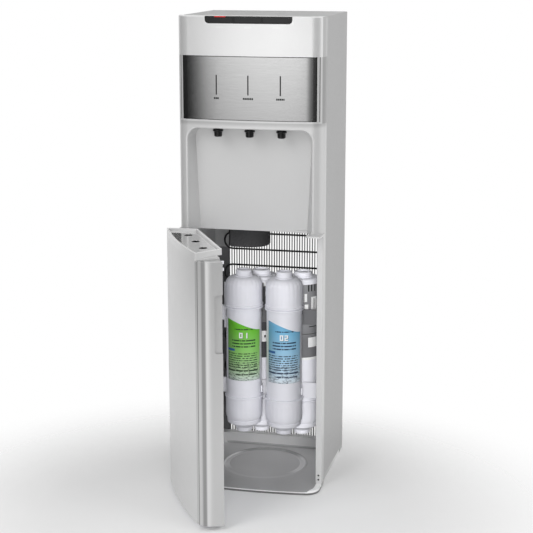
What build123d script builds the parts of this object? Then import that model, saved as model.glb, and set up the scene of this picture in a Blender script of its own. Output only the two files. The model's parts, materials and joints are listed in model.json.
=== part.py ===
from build123d import *
import math
import os

os.makedirs("parts", exist_ok=True)

# Free-standing bottleless water dispenser, in millimetres.
# Origin: centre of the base's footprint on the floor. +Z is up, the front faces -Y, +X is the viewer's right.

# Overall sizes
HEIGHT = 1040.0
CABINET_WIDTH = 315.0
FRONT_WIDTH = 323.0
PANEL_DEPTH = 249.0
BASE_REACH = 88.0
HEAD_REACH = 47.0
BOW_RADIUS = 1000.0
CORNER_RADIUS = 30.0

# Walls and clearances
SHEET = 1.0
WALL = 3.0
THIN_WALL = 2.0
SEAT_GAP = 0.2
SLIDE_GAP = 0.4
PIN_FIT = 0.05

# Heights, from the floor up and from the top down
BASE_FLOOR = 4.0
FRONT_LIP_TOP = 5.5
BASE_LIP_TOP = 9.0
DOOR_BOTTOM = 10.5
BASIN_WALL_TOP = 30.0
FRAME_BOTTOM = 578.5
COVER_HEIGHT = 83.0
FASCIA_HEIGHT = 140.0
STRIP_HEIGHT = 15.0

# Base
BASIN_MARGIN = 3.0
BASIN_SIDE = 11.5
BASIN_BACK_DEPTH = 212.0
BASIN_CORNER = 55.0
BASIN_FILLET = 2.5
LIP_STEP_HALF = 138.0
BASE_DECK_DEPTH = 230.0
RING_RADIUS = 95.5
RING_TUBE = 6.0
RING_HEIGHT = 1.5
RING_TILT = 1.2
RING_X = 4.0
RING_BACK_FROM_PANEL = 88.5
FOOT_RADIUS = 14.0
FOOT_INSET = 34.0
PAD_THICKNESS = 2.0

# Cabinet
FLANGE_FRONT = 9.0
FLANGE_BACK = 36.0
RAIL_WIDTH = 13.5
RAIL_REACH = 26.0
RAIL_SCREW_HEIGHTS = (18.0, 28.0)
RAIL_SCREW_RADIUS = 2.2
RAIL_SCREW_DEPTH = 8.0
TOP_PANEL_THICKNESS = 4.0

# Alcove and head
OPENING_HALF = 138.0
OPENING_CORNER = 26.0
LINER_BACK_TOP_HALF = 131.0
LINER_BACK_FOOT_HALF = 120.0
LINER_REACH = 36.0
LINER_WALL = 2.5
LINER_FOOT = 5.0
LINER_FOOT_LENGTH = 34.0
LINER_FOOT_REACH = 7.0
ARCH_EDGE = 3.0
PLINTH_HEIGHT = 6.0
PLINTH_PROUD = 1.2
FOOT_PLATE_INNER = 128.0
FOOT_PLATE_REACH = 57.0
FOOT_PLATE_THICKNESS = 4.0
STEEL_FASCIA_HALF = 147.0
STEEL_FASCIA_RIM = 4.0
STEEL_FASCIA_THICKNESS = 1.2
SLIT_WIDTH = 2.8
SLIT_HEIGHT = 42.0
SLIT_DROP = 40.0
LENS_DEPTH = 9.0

# Button bar
BAR_HALF = 95.0
BAR_HEIGHT = 15.0
BAR_DEPTH = 13.0
BAR_PROUD = 0.8
BAR_CORNER = 8.0
BAR_BORDER = 2.4
BUTTON_COUNT = 3
BUTTON_PROUD = 0.7
BUTTON_DEPTH = 9.0
BUTTON_TRAVEL = 2.5
LOCK_LENGTH = 24.0
LOCK_TRAVEL = 8.0
LOCK_DEPTH = 5.0
LOCK_HEIGHT = 1.9
LOCK_CENTRE_X = -61.0

# Nozzles, valves and drain
OUTLET_PITCH = 70.0
NOZZLE_SETBACK = 14.5
NOZZLE_FLANGE_RADIUS = 11.4
NOZZLE_BODY_RADIUS = 9.0
NOZZLE_BORE = 4.0
NOZZLE_STEM_RADIUS = 6.0
NOZZLE_LENGTH = 18.0
NOZZLE_EDGE = 1.5
NOZZLE_DRAFT = 0.5
VALVE_HALF = 8.3
DRAIN_RADIUS = 9.0
DRAIN_SETBACK = 42.5

# Door
DOOR_ANGLE = 61.0
STILE_DROP = 7.5
DECK_THICKNESS = 2.5
SHELF_HEIGHT = 12.5
HINGE_INSET_X = 10.2
HINGE_SETBACK = 46.0
HINGE_PIN_RADIUS = 4.0
HINGE_PIN_GRIP = 13.0
HINGE_HEAD_RADIUS = 6.4
HINGE_CORNER = 9.0
STILE_WIDTH = 24.5
STILE_TOP_ROUND = 6.0
DOOR_RAIL_GAP = 1.0
SKIN_THICKNESS = 3.0
LINER_THICKNESS = 2.5
GRIP_HEIGHT = 122.0
GRIP_CENTRE_Z = 441.0
GRIP_WIDTH = 17.0
GRIP_DEPTH = 5.0
GRIP_CORNER = 7.0
SHELF_BACK_HALF = 110.0
SHELF_OVERHANG = 11.0
SHELF_RIM = 4.0
PLATE_THICKNESS = 2.0
PLATE_DROP = 5.0
CUP_HALF = 88.0
CUP_HEIGHT = 18.0
CATCH_DROPS = (23.0, 9.0)
CATCH_SIZE = (5.0, 7.0, 6.0)

# Filter cartridges
FRONT_FILTER_LENGTH = 389.0
REAR_FILTER_LENGTH = 402.0
FILTER_BODY_RADIUS = 40.0
FILTER_CAP_RADIUS = 42.0
FILTER_RIM_RADIUS = 44.0
FILTER_DOME_RADIUS = 19.0
FILTER_PORT_RADIUS = 18.0
FILTER_PORT_HEIGHT = 17.0
REAR_PORT_RADIUS = 20.5
REAR_PORT_LENGTH = 25.0
REAR_SHOULDER_RADIUS = 5.0
FILTER_NECK_RADIUS = 18.6
FILTER_NECK_HEIGHT = 16.0
FILTER_DISH_HEIGHT = 29.0
FILTER_SKIRT_HEIGHT = 41.0
FILTER_LOWER_RIM = 92.0
FILTER_UPPER_RIM = 308.0
FILTER_BEAD = 2.5
FILTER_STEP = 1.5
FRONT_FILTER_X = (-38.0, 56.0)
REAR_FILTER_X = (-19.0, 79.0)
FRONT_FILTER_BACK = 60.0
REAR_FILTER_BACK = 150.0
FRONT_FILTER_FOOT = 86.0
REAR_FILTER_FOOT = 66.0
LABEL_THICKNESS = 0.4
LABEL_GLUE = 0.08
LABEL_HALF_ANGLE = 69.0
LABEL_BOTTOM = 128.0
LABEL_HEIGHT = 142.0
LABEL_WAVE = 26.0
REAR_LABEL_BOTTOM = 187.0
REAR_LABEL_HEIGHT = 178.0
CLIP_WALL = 2.0
CLIP_HEIGHT = 16.0
CLIP_LOWER = 100.0
CLIP_UPPER = 274.0
BRACKET_THICKNESS = 2.0
BRACKET_BACK = 105.0
POST_BOTTOM = 236.0
POST_HEIGHT = 108.0
POST_WIDTH = 12.0

# Condenser
WIRE_COUNT = 40
WIRE_PITCH = 6.12
WIRE_RADIUS = 1.2
WIRE_BOTTOM = 14.0
WIRE_DROP = 20.0
TUBE_RADIUS = 2.2
TUBE_ROWS = 11
TUBE_LOWEST = 129.0
TUBE_DROP = 43.0
TUBE_HALF = 112.0
TUBE_SETBACK = 6.0
STRAP_DROP = 37.0

# Inside the upper compartment
SHELF_PLATE = 2.0
LOWER_SHELF_RISE = 3.5
UPPER_SHELF_DROP = 12.0
COLD_BOX = (82.0, 90.0)
COLD_BOX_LIFT = 53.0
COLD_BOX_HEADROOM = 20.0
COLD_BOX_ROUND = 44.0
COLD_BOX_EDGE = 5.0
COLD_BOX_CENTRE = (-23.5, 0.0)
COLD_TANK_RADIUS = 30.0
COLD_FOAM_FLOOR = 16.0
COLD_COLLAR = 5.0
HOT_TANK_RADIUS = 52.0
HOT_TANK_HEIGHT = 150.0
HOT_TANK_CENTRE = (-60.0, 40.0)
HEATER_BAND_HEIGHT = 30.0
HEATER_BAND_THICKNESS = 2.5
COMPRESSOR_RADIUS = 48.0
COMPRESSOR_HEADROOM = 66.0
COMPRESSOR_CENTRE = (97.0, 90.0)
BOARD_SIZE = (90.0, 70.0, 2.0)
BOARD_STANDOFF = 8.0
BOARD_CENTRE = (80.0, 40.0)

# Rear
REAR_SHEET = 1.2
REAR_OVERLAP = 2.0
VENT_COUNT = 8
VENT_LENGTH = 120.0
VENT_WIDTH = 4.0
VENT_PITCH = 12.0
VENT_RISE = 58.0
ROCKER_SIZE = (11.0, 6.0, 18.0)
ROCKER_PIN_RADIUS = 1.0
ROCKER_TILT = 8.0
ROCKER_DROP = 140.0
ROCKER_X = (60.0, 90.0)
ROCKER_SIDE_GAP = 0.35
ROCKER_END_GAP = 1.4
FITTING_RADIUS = 8.0
FITTING_LENGTH = 22.0
FITTING_X = -90.0
DRAIN_PLUG_X = -50.0
INLET_SIZE = (30.0, 16.0, 24.0)
INLET_X = 100.0
INLET_PIN = (2.0, 4.0)
INLET_PIN_SPREAD = 7.0
INLET_PIN_RISE = 2.5
REAR_PORT_RISE = 24.0
SCREW_RADIUS = 3.5
SCREW_HEAD = 1.6

# Derived heights
COVER_BOTTOM = HEIGHT - COVER_HEIGHT
FASCIA_TOP = COVER_BOTTOM - FASCIA_HEIGHT
ALCOVE_CEILING = FASCIA_TOP - STRIP_HEIGHT
STILE_TOP = FRAME_BOTTOM - STILE_DROP
SHELF_BOTTOM = STILE_TOP + DECK_THICKNESS
SHELF_TOP = SHELF_BOTTOM + SHELF_HEIGHT
LOWER_SHELF_Z = FRAME_BOTTOM + LOWER_SHELF_RISE
UPPER_SHELF_Z = ALCOVE_CEILING - UPPER_SHELF_DROP
COLD_BOX_BOTTOM = FRONT_FILTER_FOOT + FRONT_FILTER_LENGTH + COLD_BOX_LIFT
COLD_BOX_TOP = UPPER_SHELF_Z - COLD_BOX_HEADROOM
COMPRESSOR_HEIGHT = UPPER_SHELF_Z - LOWER_SHELF_Z - SHELF_PLATE - COMPRESSOR_HEADROOM
WIRE_TOP = LOWER_SHELF_Z - WIRE_DROP
TUBE_PITCH = (WIRE_TOP - TUBE_DROP - TUBE_LOWEST) / (TUBE_ROWS - 1)
STRAP_TOP = WIRE_TOP - TUBE_DROP - STRAP_DROP
REAR_BOTTOM = LOWER_SHELF_Z - REAR_OVERLAP
VENT_LOWEST = LOWER_SHELF_Z + VENT_RISE
REAR_PORT_HEIGHT = LOWER_SHELF_Z + REAR_PORT_RISE
ROCKER_HEIGHT = HEIGHT - ROCKER_DROP

# Derived places
HALF_CABINET = CABINET_WIDTH / 2
HALF_FRONT = FRONT_WIDTH / 2
PANEL_FRONT = -(PANEL_DEPTH - BASE_REACH) / 2
PANEL_BACK = PANEL_FRONT + PANEL_DEPTH
BASE_FRONT = PANEL_FRONT - BASE_REACH
HEAD_FRONT = PANEL_FRONT - HEAD_REACH
RAIL_FRONT = PANEL_FRONT - RAIL_REACH
DOOR_BACK = RAIL_FRONT - DOOR_RAIL_GAP
HINGE_X = -HALF_FRONT + HINGE_INSET_X
HINGE_Y = BASE_FRONT + HINGE_SETBACK
NOZZLE_Y = HEAD_FRONT + NOZZLE_SETBACK
DRAIN_Y = BASE_FRONT + DRAIN_SETBACK
SEAM_X = HALF_FRONT - STILE_WIDTH
INNER_HALF = HALF_CABINET - SHEET
OUTLETS = [(i - 1) * OUTLET_PITCH for i in range(3)]
NAMES = ("hot", "room", "cold")


def block(x, y, z):
    """A box from three (low, high) pairs."""
    size = [high - low for low, high in (x, y, z)]
    middle = [(high + low) / 2 for low, high in (x, y, z)]
    return Pos(*middle) * Box(*size)


def disc(x, y, z, radius):
    """An upright cylinder from a (low, high) pair of heights."""
    return Pos(x, y, (z[0] + z[1]) / 2) * Cylinder(radius, z[1] - z[0])


def bowed_face(front, back, half, corner, bow):
    """Plan outline with a bowed front edge, tangent rounded front corners and a straight back."""
    bow_centre = front + bow
    corner_y = bow_centre - math.sqrt((bow - corner) ** 2 - (half - corner) ** 2)
    turn = math.atan2(half - corner, bow_centre - corner_y)
    middle = (turn + math.pi / 2) / 2
    tangent = (bow * math.sin(turn), bow_centre - bow * math.cos(turn))
    halfway = (half - corner + corner * math.sin(middle), corner_y - corner * math.cos(middle))
    edges = [
        Line((half, back), (half, corner_y)),
        ThreePointArc((half, corner_y), halfway, tangent),
        ThreePointArc(tangent, (0, front), (-tangent[0], tangent[1])),
        ThreePointArc((-tangent[0], tangent[1]), (-halfway[0], halfway[1]), (-half, corner_y)),
        Line((-half, corner_y), (-half, back)),
        Line((-half, back), (half, back)),
    ]
    return make_face(edges)


def bowed_prism(front, back, z, inset=0.0, half=HALF_FRONT):
    """The bowed outline between two heights, shrunk all round by inset except at the back."""
    face = bowed_face(front + inset, back, half - inset, CORNER_RADIUS - inset, BOW_RADIUS - inset)
    return Pos(0, 0, z[0]) * extrude(face, z[1] - z[0])


def upright(face, y):
    """Stand a sketch drawn in X and Z at a given Y; it extrudes towards -Y."""
    return Plane(origin=(0, y, 0), x_dir=(1, 0, 0), z_dir=(0, -1, 0)) * face


def save(shape, name):
    export_step(shape, f"parts/{name}.step")


# Base tray with the lower hinge boss, and its pads

def base_tray():
    """A low front lip with raised corners, a basin behind it and a ring pressed up in the basin's floor."""
    body = bowed_prism(BASE_FRONT, PANEL_FRONT, (0, BASE_LIP_TOP))
    body += block((-HALF_CABINET, HALF_CABINET), (PANEL_FRONT, PANEL_BACK), (0, BASE_LIP_TOP))
    step = BASE_LIP_TOP - FRONT_LIP_TOP
    dip = Polygon((-LIP_STEP_HALF, FRONT_LIP_TOP), (LIP_STEP_HALF, FRONT_LIP_TOP),
                  (LIP_STEP_HALF + 3 * step, BASE_LIP_TOP + step), (-LIP_STEP_HALF - 3 * step, BASE_LIP_TOP + step),
                  align=None)
    body -= extrude(upright(dip, PANEL_FRONT - RAIL_REACH), BASE_REACH)
    deck_half = INNER_HALF - SEAT_GAP
    deck = block((-deck_half, deck_half), (PANEL_FRONT + SHEET + SEAT_GAP, PANEL_FRONT + BASE_DECK_DEPTH),
                 (BASE_FLOOR, BASIN_WALL_TOP))
    basin_half = HALF_FRONT - BASIN_SIDE
    basin_face = bowed_face(BASE_FRONT + BASIN_MARGIN, PANEL_FRONT + BASIN_BACK_DEPTH, basin_half,
                            CORNER_RADIUS - BASIN_MARGIN, BOW_RADIUS - BASIN_MARGIN)
    rear_corners = basin_face.vertices().sort_by(Axis.Y)[-2:]
    basin_face = fillet(rear_corners, BASIN_CORNER)
    basin = Pos(0, 0, BASE_FLOOR) * extrude(basin_face, BASIN_WALL_TOP)
    basin = fillet(basin.faces().sort_by(Axis.Z)[0].edges(), BASIN_FILLET)
    ring_y = PANEL_FRONT + RING_BACK_FROM_PANEL
    ring = Pos(RING_X, ring_y, BASE_FLOOR + RING_HEIGHT - RING_TUBE) * Rot(RING_TILT, 0, 0)
    ring = ring * Torus(RING_RADIUS, RING_TUBE)
    reach = RING_RADIUS + 2 * RING_TUBE
    ring &= block((RING_X - reach, RING_X + reach), (ring_y - reach, ring_y + reach),
                  (BASE_FLOOR - BASE_FLOOR / 4, BASIN_WALL_TOP))
    boss = disc(HINGE_X, HINGE_Y, (BASE_FLOOR - 1, BASE_LIP_TOP), 2 * HINGE_PIN_RADIUS)
    tray = body + deck - basin + ring + boss
    tray -= disc(HINGE_X, HINGE_Y, (BASE_FLOOR - 1, BASE_LIP_TOP + 1), HINGE_PIN_RADIUS)
    for x, y in foot_places():
        tray -= disc(x, y, (0, PAD_THICKNESS), FOOT_RADIUS)
    return tray


def foot_places():
    reach = HALF_FRONT - FOOT_INSET
    return [(x, y) for x in (-reach, reach) for y in (BASE_FRONT + FOOT_INSET, PANEL_BACK - FOOT_INSET)]


def feet():
    """Four rubber pads let into the underside, flush with it."""
    pads = [disc(x, y, (0, PAD_THICKNESS), FOOT_RADIUS - SEAT_GAP) for x, y in foot_places()]
    return Compound(children=pads)


save(base_tray(), "base_tray")
save(feet(), "feet")


# Steel side panels: folded sheets with a flange at each upright edge

def side_panel(side):
    outside = side * HALF_CABINET
    inside = outside - side * SHEET
    span = (BASE_LIP_TOP, HEIGHT - TOP_PANEL_THICKNESS)
    web = block(sorted((outside, inside)), (PANEL_FRONT, PANEL_BACK), span)
    front = block(sorted((outside, outside - side * FLANGE_FRONT)), (PANEL_FRONT, PANEL_FRONT + SHEET), span)
    back = block(sorted((outside, outside - side * FLANGE_BACK)), (PANEL_BACK - SHEET, PANEL_BACK), span)
    return web + front + back


# Front rails beside the lower opening, standing on the base lip

def front_rail(side):
    outer = side * HALF_FRONT
    inner = outer - side * RAIL_WIDTH
    rail = block(sorted((outer, inner)), (RAIL_FRONT, PANEL_FRONT), (BASE_LIP_TOP, FRAME_BOTTOM - FOOT_PLATE_THICKNESS))
    uprights = rail.edges().filter_by(Axis.Z).group_by(Axis.Y)[0]
    rail = fillet(uprights, THIN_WALL / 2)
    if side > 0:
        hole_x = outer - RAIL_WIDTH / 2
        for height in RAIL_SCREW_HEIGHTS:
            hole = Pos(hole_x, RAIL_FRONT + RAIL_SCREW_DEPTH / 2, height) * Rot(90, 0, 0)
            rail -= hole * Cylinder(RAIL_SCREW_RADIUS, RAIL_SCREW_DEPTH)
    return rail


for side, name in ((-1, "left"), (1, "right")):
    save(side_panel(side), f"side_panel_{name}")
    save(front_rail(side), f"front_rail_{name}")


def rail_screws():
    """Two dark screws seated in the right rail's holes."""
    x = HALF_FRONT - RAIL_WIDTH / 2
    screws = []
    for height in RAIL_SCREW_HEIGHTS:
        length = RAIL_SCREW_DEPTH - SCREW_HEAD
        place = Pos(x, RAIL_FRONT + RAIL_SCREW_DEPTH - length / 2, height) * Rot(90, 0, 0)
        screws.append(place * Cylinder(RAIL_SCREW_RADIUS, length))
    return Compound(children=screws)


save(rail_screws(), "rail_screws")


# Front frame round the alcove: fascia strip, two hollow pillars and a foot plate under each

def arch_prism(half, top, corner, y):
    """A prism through the alcove opening with rounded upper corners, between two Y values."""
    low = FRAME_BOTTOM - FOOT_PLATE_THICKNESS - 1
    outline = Pos(0, (top + low) / 2) * Rectangle(2 * half, top - low)
    outline = fillet(outline.vertices().sort_by(Axis.Y)[-2:], corner)
    return extrude(upright(outline, y[1]), y[1] - y[0])


def foot_plate(side):
    z = (FRAME_BOTTOM - FOOT_PLATE_THICKNESS, FRAME_BOTTOM)
    plate = bowed_prism(BASE_FRONT, PANEL_FRONT, z)
    x = sorted((side * FOOT_PLATE_INNER, side * HALF_FRONT))
    plate &= block(x, (PANEL_FRONT - FOOT_PLATE_REACH, PANEL_FRONT), z)
    inner_edge = plate.edges().filter_by(Axis.Z).sort_by(lambda e: abs(e.center().X) * 10 + e.center().Y)[0]
    return fillet(inner_edge, CORNER_RADIUS / 4)


def plinth(side):
    """The pillar's foot, a little proud of its front and inner faces."""
    z = (FRAME_BOTTOM, FRAME_BOTTOM + PLINTH_HEIGHT)
    x = sorted((side * (OPENING_HALF - PLINTH_PROUD), side * HALF_FRONT))
    foot = bowed_prism(HEAD_FRONT - PLINTH_PROUD, PANEL_FRONT, z)
    foot &= block(x, (HEAD_FRONT - WALL, PANEL_FRONT - LINER_REACH - SEAT_GAP), z)
    return chamfer(foot.faces().sort_by(Axis.Z)[-1].edges().group_by(Axis.Y)[0], PLINTH_PROUD / 2)


def on_arch_front(edge):
    """Whether an edge lies along the front of the alcove's arch."""
    centre = edge.center()
    inside = abs(centre.X) < OPENING_HALF + SHEET and centre.Z < ALCOVE_CEILING + SHEET
    return inside and centre.Y < HEAD_FRONT + LINER_REACH / 2 and edge.bounding_box().size.Z + edge.bounding_box().size.X > WALL


def front_frame():
    frame = bowed_prism(HEAD_FRONT, PANEL_FRONT, (FRAME_BOTTOM, FASCIA_TOP))
    frame -= arch_prism(OPENING_HALF, ALCOVE_CEILING, OPENING_CORNER, (HEAD_FRONT - 1, PANEL_FRONT))
    arch_edges = frame.edges().filter_by(on_arch_front)
    frame = fillet(arch_edges, ARCH_EDGE)
    for side in (-1, 1):
        frame += plinth(side)
    rebate_half = OPENING_HALF + LINER_WALL + SEAT_GAP
    rebate_top = ALCOVE_CEILING + LINER_WALL + SEAT_GAP
    pocket = bowed_prism(HEAD_FRONT, PANEL_FRONT, (FRAME_BOTTOM + WALL, FASCIA_TOP), WALL)
    lip_top = ALCOVE_CEILING + LINER_WALL
    pocket -= arch_prism(rebate_half + WALL, lip_top, OPENING_CORNER + 2 * WALL, (HEAD_FRONT, PANEL_FRONT))
    frame -= pocket
    for side in (-1, 1):
        frame += foot_plate(side)
    frame -= arch_prism(rebate_half, rebate_top, OPENING_CORNER + LINER_WALL, (PANEL_FRONT - LINER_REACH, PANEL_FRONT))
    frame -= disc(HINGE_X, HINGE_Y, (FRAME_BOTTOM - FOOT_PLATE_THICKNESS - 1, FRAME_BOTTOM + 1), HINGE_PIN_RADIUS)
    for x in OUTLETS:
        frame -= disc(x, NOZZLE_Y, (ALCOVE_CEILING - 1, lip_top + 1), NOZZLE_STEM_RADIUS)
    return frame


save(front_frame(), "front_frame")


# Alcove liner: splayed side walls that draw in towards the back wall and its foot, and a pierced ceiling

def liner_block(grow):
    """The alcove's hollow, or its outside where grow is the wall thickness."""
    low = FRAME_BOTTOM - FOOT_PLATE_THICKNESS
    top = ALCOVE_CEILING + grow
    front = Polygon((-OPENING_HALF - grow, low), (OPENING_HALF + grow, low), (OPENING_HALF + grow, top),
                    (-OPENING_HALF - grow, top), align=None)
    back = Polygon((-LINER_BACK_FOOT_HALF - grow, low), (LINER_BACK_FOOT_HALF + grow, low),
                   (LINER_BACK_TOP_HALF + grow, top), (-LINER_BACK_TOP_HALF - grow, top), align=None)
    front = fillet(front.vertices().sort_by(Axis.Y)[-2:], OPENING_CORNER + grow)
    back = fillet(back.vertices().sort_by(Axis.Y)[-2:], OPENING_CORNER + grow)
    return loft([upright(front, PANEL_FRONT - LINER_REACH), upright(back, PANEL_FRONT + grow)], ruled=True)


def liner_foot(side):
    """A wedge-shaped foot in the lower corner of the back wall, thinning out towards the middle."""
    low = FRAME_BOTTOM - FOOT_PLATE_THICKNESS
    outer = side * (LINER_BACK_FOOT_HALF + LINER_WALL)
    inner = outer - side * LINER_FOOT_LENGTH
    plan = Polygon((outer, PANEL_FRONT + LINER_WALL), (inner, PANEL_FRONT + LINER_WALL), (inner, PANEL_FRONT - SHEET / 2),
                   (outer, PANEL_FRONT - LINER_FOOT_REACH), align=None)
    foot = Pos(0, 0, low) * extrude(plan, LINER_FOOT)
    rim = foot.faces().sort_by(Axis.Z)[-1].edges().sort_by(Axis.Y)[0]
    return fillet(rim, LINER_FOOT / 2) & liner_block(LINER_WALL)


def alcove_liner():
    liner = liner_block(LINER_WALL) - liner_block(0)
    for side in (-1, 1):
        liner += liner_foot(side)
    for x in OUTLETS:
        liner -= disc(x, NOZZLE_Y, (ALCOVE_CEILING - 1, ALCOVE_CEILING + LINER_WALL + 1), NOZZLE_STEM_RADIUS)
    return liner


save(alcove_liner(), "alcove_liner")


# Head: the shell behind the brushed fascia, the fascia itself and the light pipes in its slits

def head_band(z, depth=WALL):
    """A bowed shell of the head, open at the back, top and bottom."""
    return bowed_prism(HEAD_FRONT, PANEL_FRONT, z) - bowed_prism(HEAD_FRONT, PANEL_FRONT, z, depth)


def slits(width, z, y):
    cuts = [block((x - width / 2, x + width / 2), y, z) for x in OUTLETS]
    return Compound(children=cuts)


FASCIA_SPAN = (FASCIA_TOP + STEEL_FASCIA_RIM, COVER_BOTTOM)
SLIT_SPAN = (FASCIA_SPAN[1] - SLIT_DROP - SLIT_HEIGHT, FASCIA_SPAN[1] - SLIT_DROP)


def head_frame():
    frame = head_band((FASCIA_TOP, COVER_BOTTOM))
    recess = head_band(FASCIA_SPAN, STEEL_FASCIA_THICKNESS)
    recess &= block((-STEEL_FASCIA_HALF, STEEL_FASCIA_HALF), (HEAD_FRONT - 1, PANEL_FRONT), FASCIA_SPAN)
    frame -= recess
    return frame - slits(SLIT_WIDTH, SLIT_SPAN, (HEAD_FRONT - 1, PANEL_FRONT))


def steel_fascia():
    half = STEEL_FASCIA_HALF - SEAT_GAP
    sheet = head_band(FASCIA_SPAN, STEEL_FASCIA_THICKNESS)
    sheet &= block((-half, half), (HEAD_FRONT - 1, PANEL_FRONT), (FASCIA_SPAN[0], FASCIA_SPAN[1] - SEAT_GAP))
    return sheet - slits(SLIT_WIDTH, SLIT_SPAN, (HEAD_FRONT - 1, PANEL_FRONT))


def light_pipes():
    pipes = []
    for x in OUTLETS:
        front = HEAD_FRONT + BOW_RADIUS - math.sqrt(BOW_RADIUS ** 2 - x ** 2) + STEEL_FASCIA_THICKNESS / 2
        half = SLIT_WIDTH / 2
        pipes.append(block((x - half, x + half), (front, front + LENS_DEPTH), SLIT_SPAN))
    return Compound(children=pipes)


save(head_frame(), "head_frame")
save(steel_fascia(), "steel_fascia")
save(light_pipes(), "light_pipes")


# Head cover with the recess for the button bar, and the flat top panel behind it

def bar_prism(proud, z, half, depth, corner=0.0):
    """The button bar's bowed prism, rounded at its lower corners in the front view."""
    prism = bowed_prism(HEAD_FRONT - proud, PANEL_FRONT, z)
    outline = Pos(0, (z[0] + z[1]) / 2) * Rectangle(2 * half, z[1] - z[0])
    if corner:
        outline = fillet(outline.vertices().sort_by(Axis.Y)[:2], corner)
    return prism & extrude(upright(outline, HEAD_FRONT + depth), depth + proud + 1)


BAR_SPAN = (HEIGHT - BAR_HEIGHT, HEIGHT)


def head_cover():
    cover = bowed_prism(HEAD_FRONT, PANEL_FRONT, (COVER_BOTTOM, HEIGHT))
    rim = cover.faces().sort_by(Axis.Z)[-1].edges()
    cover = chamfer(rim.filter_by(Axis.X, reverse=True).filter_by(Axis.Y, reverse=True), THIN_WALL / 2)
    cover -= bowed_prism(HEAD_FRONT, PANEL_FRONT, (COVER_BOTTOM, HEIGHT - WALL), WALL)
    return cover - bar_prism(1, BAR_SPAN, BAR_HALF, BAR_DEPTH, BAR_CORNER)


def top_panel():
    z = (HEIGHT - TOP_PANEL_THICKNESS, HEIGHT)
    panel = block((-HALF_CABINET, HALF_CABINET), (PANEL_FRONT, PANEL_BACK), z)
    rim = panel.edges().group_by(Axis.Z)[-1].sort_by(Axis.Y)[1:]
    return chamfer(rim, SHEET)


save(head_cover(), "head_cover")
save(top_panel(), "top_panel")


# Button bar: bezel, three sprung buttons and the sliding child lock

BUTTON_PITCH = 2 * (BAR_HALF - BAR_BORDER) / BUTTON_COUNT
BUTTON_SPAN = (BAR_SPAN[0] + BAR_BORDER, HEIGHT - BAR_BORDER)
LOCK_SLOT = (LOCK_CENTRE_X - LOCK_LENGTH / 2 - SLIDE_GAP, LOCK_CENTRE_X + LOCK_LENGTH / 2 + LOCK_TRAVEL + SLIDE_GAP)


def button_window(index, gap):
    centre = (index - (BUTTON_COUNT - 1) / 2) * BUTTON_PITCH
    half = BUTTON_PITCH / 2 - BAR_BORDER / 4 - gap
    return (centre - half, centre + half), (BUTTON_SPAN[0] + gap, BUTTON_SPAN[1] - gap)


def button_bezel():
    bezel = bar_prism(BAR_PROUD, BAR_SPAN, BAR_HALF - SEAT_GAP, BAR_DEPTH - SEAT_GAP, BAR_CORNER)
    for index in range(BUTTON_COUNT):
        x, z = button_window(index, 0)
        bezel -= block(x, (HEAD_FRONT - 2, PANEL_FRONT), z)
    lock_z = (HEIGHT - LOCK_HEIGHT, HEIGHT + 1)
    return bezel - block(LOCK_SLOT, (HEAD_FRONT - 2, HEAD_FRONT + LOCK_DEPTH + SLIDE_GAP), lock_z)


def button(index):
    x, z = button_window(index, SLIDE_GAP)
    cap = bowed_prism(HEAD_FRONT - BAR_PROUD - BUTTON_PROUD, PANEL_FRONT, z)
    cap &= block(x, (HEAD_FRONT - 2, HEAD_FRONT - BAR_PROUD - BUTTON_PROUD + BUTTON_DEPTH), z)
    if index == 0:
        cap = fillet(lower_corner(cap, -1), BAR_CORNER / 2)
    if index == BUTTON_COUNT - 1:
        cap = fillet(lower_corner(cap, 1), BAR_CORNER / 2)
    return cap


def lower_corner(cap, side):
    """The front-to-back edge at the cap's lower outer corner."""
    edges = cap.edges().filter_by(Axis.Y)
    return edges.sort_by(lambda e: side * e.center().X - e.center().Z)[-1]


def child_lock():
    x = (LOCK_CENTRE_X - LOCK_LENGTH / 2, LOCK_CENTRE_X + LOCK_LENGTH / 2)
    slider = bowed_prism(HEAD_FRONT - BAR_PROUD, PANEL_FRONT, (HEIGHT - LOCK_HEIGHT + SEAT_GAP / 2, HEIGHT))
    return slider & block(x, (HEAD_FRONT - 2, HEAD_FRONT + LOCK_DEPTH), (HEIGHT - LOCK_HEIGHT, HEIGHT))


def button_switches():
    """A small switch body behind each button, which the pressed button meets."""
    rear = HEAD_FRONT - BAR_PROUD - BUTTON_PROUD + BUTTON_DEPTH + BUTTON_TRAVEL + SEAT_GAP
    bodies = []
    for x in ((i - (BUTTON_COUNT - 1) / 2) * BUTTON_PITCH for i in range(BUTTON_COUNT)):
        mid = sum(BUTTON_SPAN) / 2
        bodies.append(block((x - BAR_CORNER, x + BAR_CORNER), (rear, rear + BAR_CORNER), (mid - WALL, mid + WALL)))
    plate = block((-BAR_HALF, BAR_HALF), (rear + BAR_CORNER, rear + BAR_CORNER + THIN_WALL),
                  (BAR_SPAN[0], HEIGHT - WALL))
    return Part() + bodies + plate


save(button_bezel(), "button_bezel")
for index, name in enumerate(NAMES):
    save(button(index), f"button_{name}")
save(child_lock(), "child_lock")
save(button_switches(), "button_switches")


# Nozzles under the alcove ceiling and the solenoid valve above each

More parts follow.
